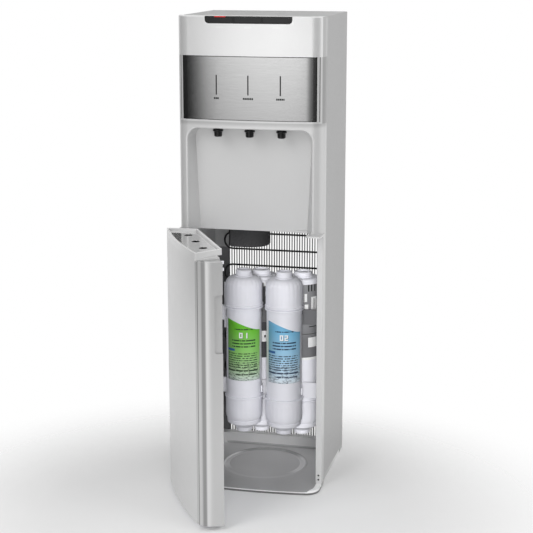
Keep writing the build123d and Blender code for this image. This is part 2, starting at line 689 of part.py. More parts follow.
def nozzle(x):
    tip = ALCOVE_CEILING - NOZZLE_LENGTH
    flange = tip + NOZZLE_LENGTH * 2 / 3
    stem_top = ALCOVE_CEILING + LINER_WALL
    foot = NOZZLE_BODY_RADIUS - NOZZLE_DRAFT
    points = [
        (NOZZLE_BORE, tip), (foot - NOZZLE_EDGE, tip), (foot, tip + NOZZLE_EDGE),
        (NOZZLE_BODY_RADIUS, flange - NOZZLE_EDGE), (NOZZLE_FLANGE_RADIUS, flange),
        (NOZZLE_FLANGE_RADIUS, flange + WALL), (NOZZLE_BODY_RADIUS, ALCOVE_CEILING - NOZZLE_EDGE),
        (NOZZLE_STEM_RADIUS, ALCOVE_CEILING - NOZZLE_EDGE), (NOZZLE_STEM_RADIUS, stem_top), (NOZZLE_BORE, stem_top),
    ]
    outline = Plane.XZ * make_face(Polyline(points, close=True))
    return Pos(x, NOZZLE_Y, 0) * revolve(outline, Axis.Z)


def valve(x):
    seat = ALCOVE_CEILING + LINER_WALL
    half = VALVE_HALF
    body_top = seat + 2 * half
    body = block((x - half, x + half), (NOZZLE_Y - half, NOZZLE_Y + 2 * half), (seat, body_top))
    body = fillet(body.edges().filter_by(Axis.Z), THIN_WALL)
    coil = disc(x, NOZZLE_Y, (body_top, body_top + 2 * half), half)
    spigot = Pos(x, NOZZLE_Y + 2 * half + NOZZLE_STEM_RADIUS, seat + half) * Rot(90, 0, 0)
    return body + coil + spigot * Cylinder(NOZZLE_STEM_RADIUS, 2 * NOZZLE_STEM_RADIUS)


for x, name in zip(OUTLETS, NAMES):
    save(nozzle(x), f"nozzle_{name}")
save(Compound(children=[valve(x) for x in OUTLETS]), "valves")


# Door, drawn closed and swung open about the hinge pins

def swung(shape):
    return Pos(HINGE_X, HINGE_Y, 0) * Rot(0, 0, -DOOR_ANGLE) * Pos(-HINGE_X, -HINGE_Y, 0) * shape


def door_stile(side):
    z = (DOOR_BOTTOM, STILE_TOP)
    stile = bowed_prism(BASE_FRONT, DOOR_BACK, z)
    stile &= block(sorted((side * (SEAM_X + SEAT_GAP), side * HALF_FRONT)), (BASE_FRONT - 1, DOOR_BACK), z)
    if side < 0:
        rear_edge = stile.edges().filter_by(Axis.Z).sort_by(lambda e: e.center().Y - e.center().X)[-1]
        stile = fillet(rear_edge, HINGE_CORNER)
        reach = HINGE_PIN_GRIP + SEAT_GAP
        for span in ((DOOR_BOTTOM - 1, DOOR_BOTTOM + reach), (STILE_TOP - reach, STILE_TOP + 1)):
            stile -= disc(HINGE_X, HINGE_Y, span, HINGE_PIN_RADIUS + PIN_FIT)
        return stile
    top_edges = stile.faces().sort_by(Axis.Z)[-1].edges().sort_by(Axis.X)[1:]
    stile = fillet(top_edges, STILE_TOP_ROUND / 2)
    half = GRIP_HEIGHT / 2
    grip_y = (DOOR_BACK - GRIP_WIDTH, DOOR_BACK + 1)
    grip = block((HALF_FRONT - GRIP_DEPTH, HALF_FRONT + 1), grip_y, (GRIP_CENTRE_Z - half, GRIP_CENTRE_Z + half))
    grip_edges = grip.edges().filter_by(Axis.X).group_by(Axis.Y)[0]
    return stile - fillet(grip_edges, GRIP_CORNER)


def door_skin():
    z = (DOOR_BOTTOM, STILE_TOP)
    skin = bowed_prism(BASE_FRONT, DOOR_BACK, z) - bowed_prism(BASE_FRONT, DOOR_BACK, z, SKIN_THICKNESS)
    return skin & block((-SEAM_X, SEAM_X), (BASE_FRONT - 1, BASE_FRONT + CORNER_RADIUS), z)


def door_liner():
    """Flat back panel with a shelf of ribs towards the skin at its top, middle and foot."""
    z = (DOOR_BOTTOM, STILE_TOP)
    panel = block((-SEAM_X, SEAM_X), (DOOR_BACK - LINER_THICKNESS, DOOR_BACK), z)
    hollow = bowed_prism(BASE_FRONT, DOOR_BACK, z, SKIN_THICKNESS)
    hollow &= block((-SEAM_X, SEAM_X), (BASE_FRONT, DOOR_BACK - LINER_THICKNESS), z)
    ribs = [block((-SEAM_X, SEAM_X), (BASE_FRONT, DOOR_BACK), (low, low + LINER_THICKNESS))
            for low in (DOOR_BOTTOM, GRIP_CENTRE_Z - GRIP_HEIGHT, STILE_TOP - CUP_HEIGHT - LINER_THICKNESS)]
    return panel + (hollow & (Part() + ribs))


def shelf_outline(inset, z):
    """The raised door top: bowed in front, straight behind, its ends drawn in towards the back."""
    back = DOOR_BACK + SHELF_OVERHANG
    prism = bowed_prism(BASE_FRONT, back - inset, z, inset)
    front_half = SEAM_X - inset
    back_half = SHELF_BACK_HALF - inset
    shoulder = BASE_FRONT + CORNER_RADIUS / 2
    plan = Polygon((-front_half, BASE_FRONT - 1), (front_half, BASE_FRONT - 1), (front_half, shoulder),
                   (back_half, back), (-back_half, back), (-front_half, shoulder), align=None)
    return prism & Pos(0, 0, z[0]) * extrude(plan, z[1] - z[0])


def trough(z):
    half = OUTLET_PITCH + 2 * DRAIN_RADIUS
    pocket = block((-half, half), (DRAIN_Y - DRAIN_RADIUS - 2, DRAIN_Y + DRAIN_RADIUS + 2), z)
    return fillet(pocket.edges().filter_by(Axis.Z), DRAIN_RADIUS)


PLATE_SPAN = (SHELF_TOP - PLATE_DROP - PLATE_THICKNESS, SHELF_TOP - PLATE_DROP)


def tray_shelf():
    """The door's deck, flush with its outline, and the raised shelf with a pocket for the drip plate."""
    deck_z = (STILE_TOP, SHELF_BOTTOM)
    shelf = bowed_prism(BASE_FRONT, DOOR_BACK, deck_z) & block((-SEAM_X, SEAM_X), (BASE_FRONT - 1, DOOR_BACK), deck_z)
    shelf += shelf_outline(0, (SHELF_BOTTOM, SHELF_TOP))
    shelf -= shelf_outline(SHELF_RIM, (PLATE_SPAN[0], SHELF_TOP + 1))
    return shelf - trough((STILE_TOP - 1, SHELF_TOP))


def drip_plate():
    plate = shelf_outline(SHELF_RIM + SLIDE_GAP, PLATE_SPAN)
    for x in OUTLETS:
        hole_bottom = Pos(x, DRAIN_Y, (PLATE_SPAN[0] + PLATE_SPAN[1]) / 2)
        plate -= hole_bottom * Cone(DRAIN_RADIUS - 1, DRAIN_RADIUS, PLATE_THICKNESS)
    return plate


def drip_cup():
    reach = (DRAIN_Y - DRAIN_RADIUS - 2 - THIN_WALL, DRAIN_Y + DRAIN_RADIUS + 2 + THIN_WALL)
    outer = block((-CUP_HALF - THIN_WALL, CUP_HALF + THIN_WALL), reach, (STILE_TOP - CUP_HEIGHT, STILE_TOP))
    outer = fillet(outer.edges().filter_by(Axis.Z), DRAIN_RADIUS)
    inner = trough((STILE_TOP - CUP_HEIGHT + THIN_WALL, STILE_TOP + 1))
    return outer - inner


def door_catch():
    """Two hooks behind the handle stile, just inside the closed rail."""
    x_high = HALF_FRONT - RAIL_WIDTH - THIN_WALL
    x = (x_high - CATCH_SIZE[0], x_high)
    hooks = []
    for drop in CATCH_DROPS:
        low = STILE_TOP - drop
        hook = block(x, (DOOR_BACK, DOOR_BACK + CATCH_SIZE[1]), (low, low + CATCH_SIZE[2]))
        hooks.append(fillet(hook.edges().filter_by(Axis.Z).group_by(Axis.Y)[-1], THIN_WALL))
    return Compound(children=hooks)


door_pieces = {
    "door_hinge_stile": door_stile(-1), "door_handle_stile": door_stile(1), "door_skin": door_skin(),
    "door_liner": door_liner(), "tray_shelf": tray_shelf(), "drip_plate": drip_plate(),
    "drip_cup": drip_cup(), "door_catch": door_catch(),
}
for name, piece in door_pieces.items():
    save(swung(piece), name)


# Hinge pins: the lower one stands in the base boss, the upper one hangs from the foot plate

def hinge_pin(seat, tip, head):
    low, high = sorted((seat, tip))
    pin = disc(HINGE_X, HINGE_Y, (low, high), HINGE_PIN_RADIUS)
    tip_edge = pin.edges().sort_by(Axis.Z)[-1 if tip > seat else 0]
    pin = chamfer(tip_edge, HINGE_PIN_RADIUS / 4)
    if head:
        pin += disc(HINGE_X, HINGE_Y, (seat, seat + THIN_WALL), HINGE_HEAD_RADIUS)
    return pin


lower_pin = hinge_pin(BASE_FLOOR - 1, DOOR_BOTTOM + HINGE_PIN_GRIP, False)
upper_pin = hinge_pin(FRAME_BOTTOM, STILE_TOP - HINGE_PIN_GRIP, True)
save(Compound(children=[lower_pin, upper_pin]), "hinge_pins")


# Filter cartridges: turned housings with a domed or stepped top, rim beads, a dished foot and two ports

FRONT_FILTER_Y = PANEL_FRONT + FRONT_FILTER_BACK
REAR_FILTER_Y = PANEL_FRONT + REAR_FILTER_BACK


def filter_foot():
    """Profile of the lower port, the dish and the lower cap, as (radius, height) from the axis outwards."""
    step = FILTER_STEP
    neck = FILTER_NECK_RADIUS
    skirt = FILTER_SKIRT_HEIGHT
    lower_cap = FILTER_RIM_RADIUS - FILTER_STEP / 2
    return [
        (0, 0), (neck - step, 0), (neck, step), (neck, FILTER_NECK_HEIGHT),
        (neck + 2 * step, FILTER_NECK_HEIGHT + 2 * step), (FILTER_BODY_RADIUS - 3 * step, FILTER_DISH_HEIGHT),
        (FILTER_BODY_RADIUS - step, FILTER_DISH_HEIGHT + 2 * step), (FILTER_BODY_RADIUS - step / 2, skirt - step),
        (FILTER_BODY_RADIUS - step, skirt), (lower_cap - 2 * step, skirt + step / 2),
        (lower_cap - step / 2, skirt + 4 * step), (lower_cap, skirt + 10 * step),
        *rim_bead(FILTER_LOWER_RIM, lower_cap, FILTER_BODY_RADIUS),
    ]


def rim_bead(height, below, above):
    """A raised bead round the housing between two radii."""
    bead = FILTER_BEAD
    return [(below, height - bead), (FILTER_RIM_RADIUS, height - bead / 2), (FILTER_RIM_RADIUS, height + bead / 2),
            (above, height + 2 * bead)]


def front_housing(x, y, foot):
    top = FRONT_FILTER_LENGTH
    shoulder = top - FILTER_PORT_HEIGHT
    step = FILTER_STEP
    port = FILTER_PORT_RADIUS
    rim = [(r, FILTER_UPPER_RIM - dz) for r, dz in
           ((FILTER_BODY_RADIUS, 2 * FILTER_BEAD), (FILTER_RIM_RADIUS, FILTER_BEAD / 2))]
    rim += [(FILTER_RIM_RADIUS, FILTER_UPPER_RIM + FILTER_BEAD / 2), (FILTER_CAP_RADIUS, FILTER_UPPER_RIM + FILTER_BEAD)]
    port_points = [(port + 2 * step, shoulder), (port + 2 * step, shoulder + step), (port, shoulder + 2 * step),
                   (port, top - step), (port - step, top), (0, top)]
    outline = make_face(Polyline(filter_foot() + rim + [(FILTER_CAP_RADIUS, shoulder)] + port_points, close=True))
    outline = fillet(corner_at(outline, FILTER_CAP_RADIUS, shoulder), FILTER_DOME_RADIUS)
    return Pos(x, y, foot) * revolve(Plane.XZ * outline, Axis.Z)


def rear_housing(x, y, foot):
    top = REAR_FILTER_LENGTH
    shoulder = top - REAR_PORT_LENGTH
    port = REAR_PORT_RADIUS
    points = [(FILTER_BODY_RADIUS, shoulder), (port, shoulder + FILTER_STEP), (port, top - FILTER_STEP),
              (port - FILTER_STEP, top), (0, top)]
    outline = make_face(Polyline(filter_foot() + points, close=True))
    outline = fillet(corner_at(outline, FILTER_BODY_RADIUS, shoulder), REAR_SHOULDER_RADIUS)
    return Pos(x, y, foot) * revolve(Plane.XZ * outline, Axis.Z)


def corner_at(face, x, y):
    return face.vertices().sort_by_distance((x, y, 0))[0]


def label_sleeve(bottom, height):
    """A thin sleeve round a cartridge's body, standing just off it."""
    inner = FILTER_BODY_RADIUS + LABEL_GLUE
    return Pos(0, 0, bottom + height / 2) * (Cylinder(inner + LABEL_THICKNESS, height) - Cylinder(inner, height))


def front_label(x, y, foot):
    """The front part of a sleeve, with a wave-cut upper edge."""
    half = FILTER_BODY_RADIUS * math.sin(math.radians(LABEL_HALF_ANGLE))
    low = LABEL_BOTTOM - 1
    high = LABEL_BOTTOM + LABEL_HEIGHT
    wave = Spline([(-half, high), (-half / 3, high - LABEL_WAVE / 12), (half / 3, high - LABEL_WAVE / 2),
                   (half, high - LABEL_WAVE)])
    edges = [wave, Line((half, high - LABEL_WAVE), (half, low)), Line((half, low), (-half, low)),
             Line((-half, low), (-half, high))]
    window = extrude(upright(make_face(edges), 0), 2 * FILTER_BODY_RADIUS)
    return Pos(x, y, foot) * (label_sleeve(LABEL_BOTTOM, LABEL_HEIGHT) & window)


def rear_label(x, y, foot):
    reach = 2 * FILTER_BODY_RADIUS
    window = block((-reach, reach), (-reach, 0), (0, REAR_FILTER_LENGTH))
    return Pos(x, y, foot) * (label_sleeve(REAR_LABEL_BOTTOM, REAR_LABEL_HEIGHT) & window)


cartridges = [(x, FRONT_FILTER_Y, FRONT_FILTER_FOOT) for x in FRONT_FILTER_X]
cartridges += [(x, REAR_FILTER_Y, REAR_FILTER_FOOT) for x in REAR_FILTER_X]
for i, place in enumerate(cartridges[:2], 1):
    save(front_housing(*place), f"filter_front_{i}")
    save(front_label(*place), f"label_front_{i}")
for i, place in enumerate(cartridges[2:], 1):
    save(rear_housing(*place), f"filter_rear_{i}")
save(Compound(children=[rear_label(*place) for place in cartridges[2:]]), "labels_rear")


# Filter bracket: a cross plate at two heights with open cradles to the front and the back

def cradle(x, y, foot, height, radius, facing):
    """A half-round cradle whose straight arms end level with the cartridge's axis."""
    inner = radius + SEAT_GAP
    outer = inner + CLIP_WALL
    z = (foot + height, foot + height + CLIP_HEIGHT)
    ring = disc(x, y, z, outer) - disc(x, y, z, inner)
    keep = sorted((y, y - facing * outer))
    return ring & block((x - outer, x + outer), keep, z)


def filter_bracket():
    plate_y = PANEL_FRONT + BRACKET_BACK
    y = (plate_y - BRACKET_THICKNESS / 2, plate_y + BRACKET_THICKNESS / 2)
    pieces = []
    for height in (CLIP_LOWER, CLIP_UPPER):
        low = REAR_FILTER_FOOT + height
        high = FRONT_FILTER_FOOT + height + CLIP_HEIGHT
        plate = block((-INNER_HALF, INNER_HALF), y, (low, high))
        for x, filter_y, foot in cartridges:
            facing = -1 if filter_y < plate_y else 1
            wrapped = facing > 0 and height > REAR_LABEL_BOTTOM
            radius = FILTER_BODY_RADIUS + (LABEL_GLUE + LABEL_THICKNESS if wrapped else 0)
            z = (foot + height, foot + height + CLIP_HEIGHT)
            plate += cradle(x, filter_y, foot, height, radius, facing)
            reach = sorted((plate_y, filter_y - facing * (radius + SEAT_GAP + CLIP_WALL / 2)))
            plate += block((x - CLIP_HEIGHT / 2, x + CLIP_HEIGHT / 2), reach, z)
            plate -= disc(x, filter_y, (low - 1, high + 1), radius + SEAT_GAP)
        pieces.append(plate)
    post_x = FRONT_FILTER_X[0] - FILTER_RIM_RADIUS - THIN_WALL
    post_z = FRONT_FILTER_FOOT + POST_BOTTOM
    post = block((post_x - POST_WIDTH, post_x), y, (post_z, post_z + POST_HEIGHT))
    return Part() + pieces + post


save(filter_bracket(), "filter_bracket")


# Wire-on-tube condenser on the open back, on two flat uprights against the side panels' back flanges

TUBE_Y = PANEL_BACK - TUBE_SETBACK
WIRE_Y = TUBE_Y - TUBE_RADIUS - WIRE_RADIUS


def condenser_wires():
    first = -(WIRE_COUNT - 1) / 2 * WIRE_PITCH
    places = [first + i * WIRE_PITCH for i in range(WIRE_COUNT)]
    return Compound(children=[disc(x, WIRE_Y, (WIRE_BOTTOM, WIRE_TOP), WIRE_RADIUS) for x in places])


def condenser_tube():
    """One serpentine: straight rows joined by half-round bends at alternate ends."""
    bend = TUBE_PITCH / 2
    path = []
    for row in range(TUBE_ROWS):
        z = TUBE_LOWEST + row * TUBE_PITCH
        side = 1 if row % 2 == 0 else -1
        path.append(Line((-side * TUBE_HALF, TUBE_Y, z), (side * TUBE_HALF, TUBE_Y, z)))
        if row < TUBE_ROWS - 1:
            middle = (side * (TUBE_HALF + bend), TUBE_Y, z + bend)
            top = (side * TUBE_HALF, TUBE_Y, z + TUBE_PITCH)
            path.append(ThreePointArc((side * TUBE_HALF, TUBE_Y, z), middle, top))
    start = Plane(origin=(-TUBE_HALF, TUBE_Y, TUBE_LOWEST), z_dir=(1, 0, 0))
    return sweep(start * Circle(TUBE_RADIUS), path=Wire(path))


def condenser_straps():
    """Two flat uprights between the tube and the back flanges."""
    y = (TUBE_Y + TUBE_RADIUS, PANEL_BACK - SHEET)
    inner = HALF_CABINET - FLANGE_BACK
    outer = INNER_HALF - SEAT_GAP
    uprights = [block(sorted((side * inner, side * outer)), y, (WIRE_BOTTOM, STRAP_TOP)) for side in (-1, 1)]
    return Compound(children=uprights)


save(condenser_wires(), "condenser_wires")
save(condenser_tube(), "condenser_tube")
save(condenser_straps(), "condenser_straps")


# Upper compartment: two shelves, the cold tank in its foam box, the hot tank, the compressor and the board

def shelf_plate(z, cut=None):
    half = INNER_HALF
    y = (PANEL_FRONT + LINER_WALL + SHEET + SEAT_GAP, PANEL_BACK - REAR_SHEET - SHEET - SEAT_GAP)
    plate = block((-half, half), y, (z, z + SHELF_PLATE))
    return plate - cut if cut else plate


def cold_box(z, grow=0.0):
    """The foam's outline between two heights: its right end is round, its left corners small."""
    x, y = COLD_BOX_CENTRE
    width, depth = (size + 2 * grow for size in COLD_BOX)
    outline = Rectangle(width, depth)
    outline = fillet(outline.vertices().sort_by(Axis.X)[-2:], COLD_BOX_ROUND + grow)
    outline = fillet(outline.vertices().sort_by(Axis.X)[:2], COLD_BOX_EDGE + grow)
    return Pos(x, y, z[0]) * extrude(outline, z[1] - z[0])


COLLAR_TOP = LOWER_SHELF_Z + SHELF_PLATE + COLD_COLLAR
FOAM_FLOOR_Z = COLD_BOX_BOTTOM + COLD_FOAM_FLOOR
LID_BOTTOM = COLD_BOX_TOP - COLD_FOAM_FLOOR


def cold_foam():
    x, y = COLD_BOX_CENTRE
    foam = cold_box((COLD_BOX_BOTTOM, LID_BOTTOM))
    foam = chamfer(foam.edges().group_by(Axis.Z)[0], THIN_WALL)
    foam += cold_box((LOWER_SHELF_Z + SHELF_PLATE, COLLAR_TOP), COLD_COLLAR)
    return foam - disc(x, y, (FOAM_FLOOR_Z, LID_BOTTOM + 1), COLD_TANK_RADIUS)


def cold_lid():
    return cold_box((LID_BOTTOM, COLD_BOX_TOP))


def cold_tank():
    x, y = COLD_BOX_CENTRE
    tank = disc(x, y, (FOAM_FLOOR_Z, LID_BOTTOM), COLD_TANK_RADIUS - SEAT_GAP)
    return fillet(tank.edges(), COLD_FOAM_FLOOR / 2)


def hot_tank():
    x, y = HOT_TANK_CENTRE
    low = UPPER_SHELF_Z + SHELF_PLATE
    tank = disc(x, y, (low, low + HOT_TANK_HEIGHT), HOT_TANK_RADIUS)
    tank = fillet(tank.edges(), COLD_FOAM_FLOOR)
    return tank + disc(x, y, (low + HOT_TANK_HEIGHT - 1, low + HOT_TANK_HEIGHT + FITTING_LENGTH), FITTING_RADIUS)


def heater_band():
    x, y = HOT_TANK_CENTRE
    low = UPPER_SHELF_Z + SHELF_PLATE + HEATER_BAND_HEIGHT
    z = (low, low + HEATER_BAND_HEIGHT)
    return disc(x, y, z, HOT_TANK_RADIUS + HEATER_BAND_THICKNESS) - disc(x, y, z, HOT_TANK_RADIUS)


def compressor():
    x, y = COMPRESSOR_CENTRE
    low = LOWER_SHELF_Z + SHELF_PLATE
    shell = disc(x, y, (low + THIN_WALL, low + COMPRESSOR_HEIGHT), COMPRESSOR_RADIUS)
    shell = fillet(shell.edges().sort_by(Axis.Z)[-1], COMPRESSOR_RADIUS / 2)
    seam_z = low + COMPRESSOR_HEIGHT / 2
    seam = disc(x, y, (seam_z, seam_z + WALL), COMPRESSOR_RADIUS + THIN_WALL)
    foot = block((x - COMPRESSOR_RADIUS, x + COMPRESSOR_RADIUS), (y - COMPRESSOR_RADIUS, y + COMPRESSOR_RADIUS),
                 (low, low + WALL))
    return shell + seam + foot


def control_board():
    x, y = BOARD_CENTRE
    low = UPPER_SHELF_Z + SHELF_PLATE
    width, depth, thick = BOARD_SIZE
    plate_z = (low + BOARD_STANDOFF, low + BOARD_STANDOFF + thick)
    board = block((x - width / 2, x + width / 2), (y - depth / 2, y + depth / 2), plate_z)
    for dx in (-1, 1):
        for dy in (-1, 1):
            post_x = x + dx * (width / 2 - WALL)
            post_y = y + dy * (depth / 2 - WALL)
            board += disc(post_x, post_y, (low, plate_z[0]), THIN_WALL)
    chip_z = (plate_z[1], plate_z[1] + BOARD_STANDOFF)
    return board + block((x - width / 4, x + width / 4), (y - depth / 4, y + depth / 4), chip_z)


foam_cut = cold_box((LOWER_SHELF_Z - 1, LOWER_SHELF_Z + SHELF_PLATE + 1), SEAT_GAP)
save(Compound(children=[shelf_plate(LOWER_SHELF_Z, foam_cut), shelf_plate(UPPER_SHELF_Z)]), "inner_shelves")
save(cold_foam(), "cold_tank_foam")
save(cold_lid(), "cold_tank_lid")
save(cold_tank(), "cold_tank")
save(hot_tank(), "hot_tank")
save(heater_band(), "heater_band")
save(compressor(), "compressor")
save(control_board(), "control_board")


# Rear panel with vents, rocker switches, fittings and screws

REAR_INSIDE = PANEL_BACK - SHEET - REAR_SHEET
ROCKER_PIVOT_Y = PANEL_BACK + THIN_WALL - ROCKER_SIZE[1] / 2


def rocker_case(x):
    """A switch case through the rear panel, open to the back, with its rim on the panel."""
    half_x = ROCKER_SIZE[0] / 2 + ROCKER_SIDE_GAP
    half_z = ROCKER_SIZE[2] / 2 + ROCKER_END_GAP
    z = (ROCKER_HEIGHT - half_z, ROCKER_HEIGHT + half_z)
    depth = ROCKER_PIVOT_Y - ROCKER_SIZE[1] - THIN_WALL
    body = block((x - half_x - THIN_WALL, x + half_x + THIN_WALL), (depth, PANEL_BACK),
                 (z[0] - THIN_WALL, z[1] + THIN_WALL))
    rim = block((x - half_x - WALL, x + half_x + WALL), (PANEL_BACK - SHEET, PANEL_BACK), (z[0] - WALL, z[1] + WALL))
    return body + rim - block((x - half_x, x + half_x), (depth + THIN_WALL, PANEL_BACK + 1), z)


def rocker(x):
    """A bent two-face key, resting tilted to its on side."""
    width, depth, height = ROCKER_SIZE
    bend = math.tan(math.radians(ROCKER_TILT)) * height / 2
    profile = Polygon((-depth / 2, -height / 2), (depth / 2, -height / 2), (depth / 2 - bend, 0),
                      (depth / 2, height / 2), (-depth / 2, height / 2), (-depth / 2 - bend / 2, 0), align=None)
    side_view = Plane(origin=(-width / 2, 0, 0), x_dir=(0, 1, 0), z_dir=(1, 0, 0)) * profile
    key = extrude(side_view, width)
    pin = Rot(0, 90, 0) * Cylinder(ROCKER_PIN_RADIUS, width + 2 * ROCKER_SIDE_GAP - 2 * PIN_FIT)
    return Pos(x, ROCKER_PIVOT_Y, ROCKER_HEIGHT) * Rot(ROCKER_TILT, 0, 0) * (key + pin)


def rear_panel():
    half = HALF_CABINET - SHEET - SEAT_GAP
    sheet = block((-half, half), (REAR_INSIDE, PANEL_BACK - SHEET), (REAR_BOTTOM, HEIGHT - TOP_PANEL_THICKNESS))
    for i in range(VENT_COUNT):
        z = VENT_LOWEST + i * VENT_PITCH
        slot = block((-VENT_LENGTH / 2, VENT_LENGTH / 2), (REAR_INSIDE - 1, PANEL_BACK), (z, z + VENT_WIDTH))
        sheet -= fillet(slot.edges().filter_by(Axis.Y), VENT_WIDTH / 2 - 0.1)
    for x in ROCKER_X:
        half_x = ROCKER_SIZE[0] / 2 + ROCKER_SIDE_GAP + THIN_WALL
        half_z = ROCKER_SIZE[2] / 2 + ROCKER_END_GAP + THIN_WALL
        sheet -= block((x - half_x, x + half_x), (REAR_INSIDE - 1, PANEL_BACK),
                       (ROCKER_HEIGHT - half_z, ROCKER_HEIGHT + half_z))
    for x in (FITTING_X, DRAIN_PLUG_X):
        sheet -= Pos(x, PANEL_BACK, REAR_PORT_HEIGHT) * Rot(90, 0, 0) * Cylinder(FITTING_RADIUS, 2 * FITTING_LENGTH)
    width, depth, height = INLET_SIZE
    return sheet - block((INLET_X - width / 2, INLET_X + width / 2), (REAR_INSIDE - 1, PANEL_BACK),
                         (REAR_PORT_HEIGHT - height / 2, REAR_PORT_HEIGHT + height / 2))


def rear_turned(x, points):
    """A piece turned about a line through the rear panel, from (radius, distance out) points."""
    outline = make_face(Polyline(points, close=True))
    return Pos(x, PANEL_BACK - SHEET, REAR_PORT_HEIGHT) * Rot(-90, 0, 0) * revolve(Plane.XZ * outline, Axis.Z)


def water_inlet():
    bore = FITTING_RADIUS / 2
    nut = FITTING_RADIUS * 1.4
    points = [(bore, -FITTING_LENGTH), (FITTING_RADIUS, -FITTING_LENGTH), (FITTING_RADIUS, 0), (nut, 0), (nut, WALL),
              (FITTING_RADIUS, WALL), (FITTING_RADIUS, FITTING_LENGTH / 2), (bore, FITTING_LENGTH / 2)]
    return rear_turned(FITTING_X, points)


def drain_plug():
    cap = FITTING_RADIUS * 1.3
    points = [(0, -FITTING_LENGTH), (FITTING_RADIUS, -FITTING_LENGTH), (FITTING_RADIUS, 0), (cap, 0),
              (cap, FITTING_LENGTH / 3), (cap - 1.5, FITTING_LENGTH / 3 + 1.5), (0, FITTING_LENGTH / 3 + 1.5)]
    return rear_turned(DRAIN_PLUG_X, points)


def power_inlet():
    """A three-pin inlet with its cavity open to the back."""
    width, depth, height = INLET_SIZE
    z = (REAR_PORT_HEIGHT - height / 2, REAR_PORT_HEIGHT + height / 2)
    x = (INLET_X - width / 2, INLET_X + width / 2)
    back = PANEL_BACK + THIN_WALL - SHEET
    rim = block((x[0] - WALL, x[1] + WALL), (PANEL_BACK - SHEET, back), (z[0] - WALL, z[1] + WALL))
    shell = block(x, (back - depth, back), z) + rim
    shell -= block((x[0] + THIN_WALL, x[1] - THIN_WALL), (back - depth + WALL, back + 1),
                   (z[0] + THIN_WALL, z[1] - THIN_WALL))
    pin_width, pin_height = INLET_PIN
    for pin_x, pin_z in ((-INLET_PIN_SPREAD, -INLET_PIN_RISE), (INLET_PIN_SPREAD, -INLET_PIN_RISE), (0, INLET_PIN_RISE)):
        centre_x = INLET_X + pin_x
        centre_z = REAR_PORT_HEIGHT + pin_z
        shell += block((centre_x - pin_width / 2, centre_x + pin_width / 2), (back - depth + WALL / 2, back - WALL),
                       (centre_z - pin_height / 2, centre_z + pin_height / 2))
    return shell


def rear_screws():
    inset = FLANGE_BACK / 2
    xs = (-HALF_CABINET + inset, HALF_CABINET - inset)
    zs = (REAR_BOTTOM + 2 * inset, (REAR_BOTTOM + HEIGHT) / 2, HEIGHT - TOP_PANEL_THICKNESS - 2 * inset)
    heads = []
    for x in xs:
        for z in zs:
            head = Pos(x, PANEL_BACK + SCREW_HEAD / 2, z) * Rot(90, 0, 0) * Cylinder(SCREW_RADIUS, SCREW_HEAD)
            heads.append(chamfer(head.edges().sort_by(Axis.Y)[-1], SCREW_HEAD / 3))
    return Compound(children=heads)


save(rear_panel(), "rear_panel")
save(Compound(children=[rocker_case(x) for x in ROCKER_X]), "rocker_cases")
for x, name in zip(ROCKER_X, ("hot", "cold")):
    save(rocker(x), f"rocker_{name}")
save(water_inlet(), "water_inlet")
save(drain_plug(), "drain_plug")
save(power_inlet(), "power_inlet")
save(rear_screws(), "rear_screws")
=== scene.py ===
import json
import math

import bpy
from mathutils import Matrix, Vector

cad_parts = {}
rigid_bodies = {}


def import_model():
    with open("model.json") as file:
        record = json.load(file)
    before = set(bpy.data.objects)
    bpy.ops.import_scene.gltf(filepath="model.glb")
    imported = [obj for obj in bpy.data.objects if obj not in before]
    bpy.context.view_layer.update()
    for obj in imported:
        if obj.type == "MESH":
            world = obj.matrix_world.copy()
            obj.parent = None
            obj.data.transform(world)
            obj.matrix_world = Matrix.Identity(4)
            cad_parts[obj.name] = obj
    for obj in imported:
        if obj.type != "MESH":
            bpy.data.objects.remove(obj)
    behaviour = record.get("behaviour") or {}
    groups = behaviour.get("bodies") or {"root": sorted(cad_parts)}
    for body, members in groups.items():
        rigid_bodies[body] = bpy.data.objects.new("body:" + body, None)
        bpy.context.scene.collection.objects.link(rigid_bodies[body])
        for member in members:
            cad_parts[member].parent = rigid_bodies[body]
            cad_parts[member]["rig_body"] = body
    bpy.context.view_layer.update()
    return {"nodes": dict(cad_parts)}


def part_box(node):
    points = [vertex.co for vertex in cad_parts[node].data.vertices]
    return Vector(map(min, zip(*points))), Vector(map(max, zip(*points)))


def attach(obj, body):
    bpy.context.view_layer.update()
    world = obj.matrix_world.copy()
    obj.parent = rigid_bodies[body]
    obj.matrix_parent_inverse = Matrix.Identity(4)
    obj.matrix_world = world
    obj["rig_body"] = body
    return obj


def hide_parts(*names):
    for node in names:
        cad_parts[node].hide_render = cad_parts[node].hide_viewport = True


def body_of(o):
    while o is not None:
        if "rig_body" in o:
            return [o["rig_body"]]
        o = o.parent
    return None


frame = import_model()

MM = 0.001

# Camera of the photograph: place in metres, turns in degrees, lens in millimetres
CAMERA_PLACE = (0.7522, -3.0825, 1.1813)
CAMERA_YAW = 13.54
CAMERA_PITCH = 12.53
CAMERA_LENS = 96.95
CAMERA_SENSOR = 36.0

# Colours as sRGB values from 0 to 1
COVER_SILVER = (0.95, 0.95, 0.95)
HEAD_SILVER = (0.82, 0.82, 0.82)
SILVER = (0.83, 0.83, 0.83)
DOOR_SILVER = (0.84, 0.84, 0.84)
STILE_SILVER = (0.74, 0.74, 0.74)
BASE_SILVER = (0.79, 0.79, 0.79)
LINER_SILVER = (0.785, 0.785, 0.785)
PANEL_GREY = (0.72, 0.72, 0.72)
STEEL = (0.86, 0.86, 0.86)
ZINC = (0.66, 0.67, 0.68)
BLACK = (0.055, 0.055, 0.058)
CHARCOAL = (0.17, 0.17, 0.175)
WHITE_PLASTIC = (0.95, 0.95, 0.975)
FOAM_GREY = (0.25, 0.25, 0.255)
# Dark for print, and for painted shade.
INK_AND_SHADE = (0.09, 0.11, 0.10)
# White for print, and for painted highlights.
PRINT_AND_HIGHLIGHT_WHITE = (0.97, 0.97, 0.97)

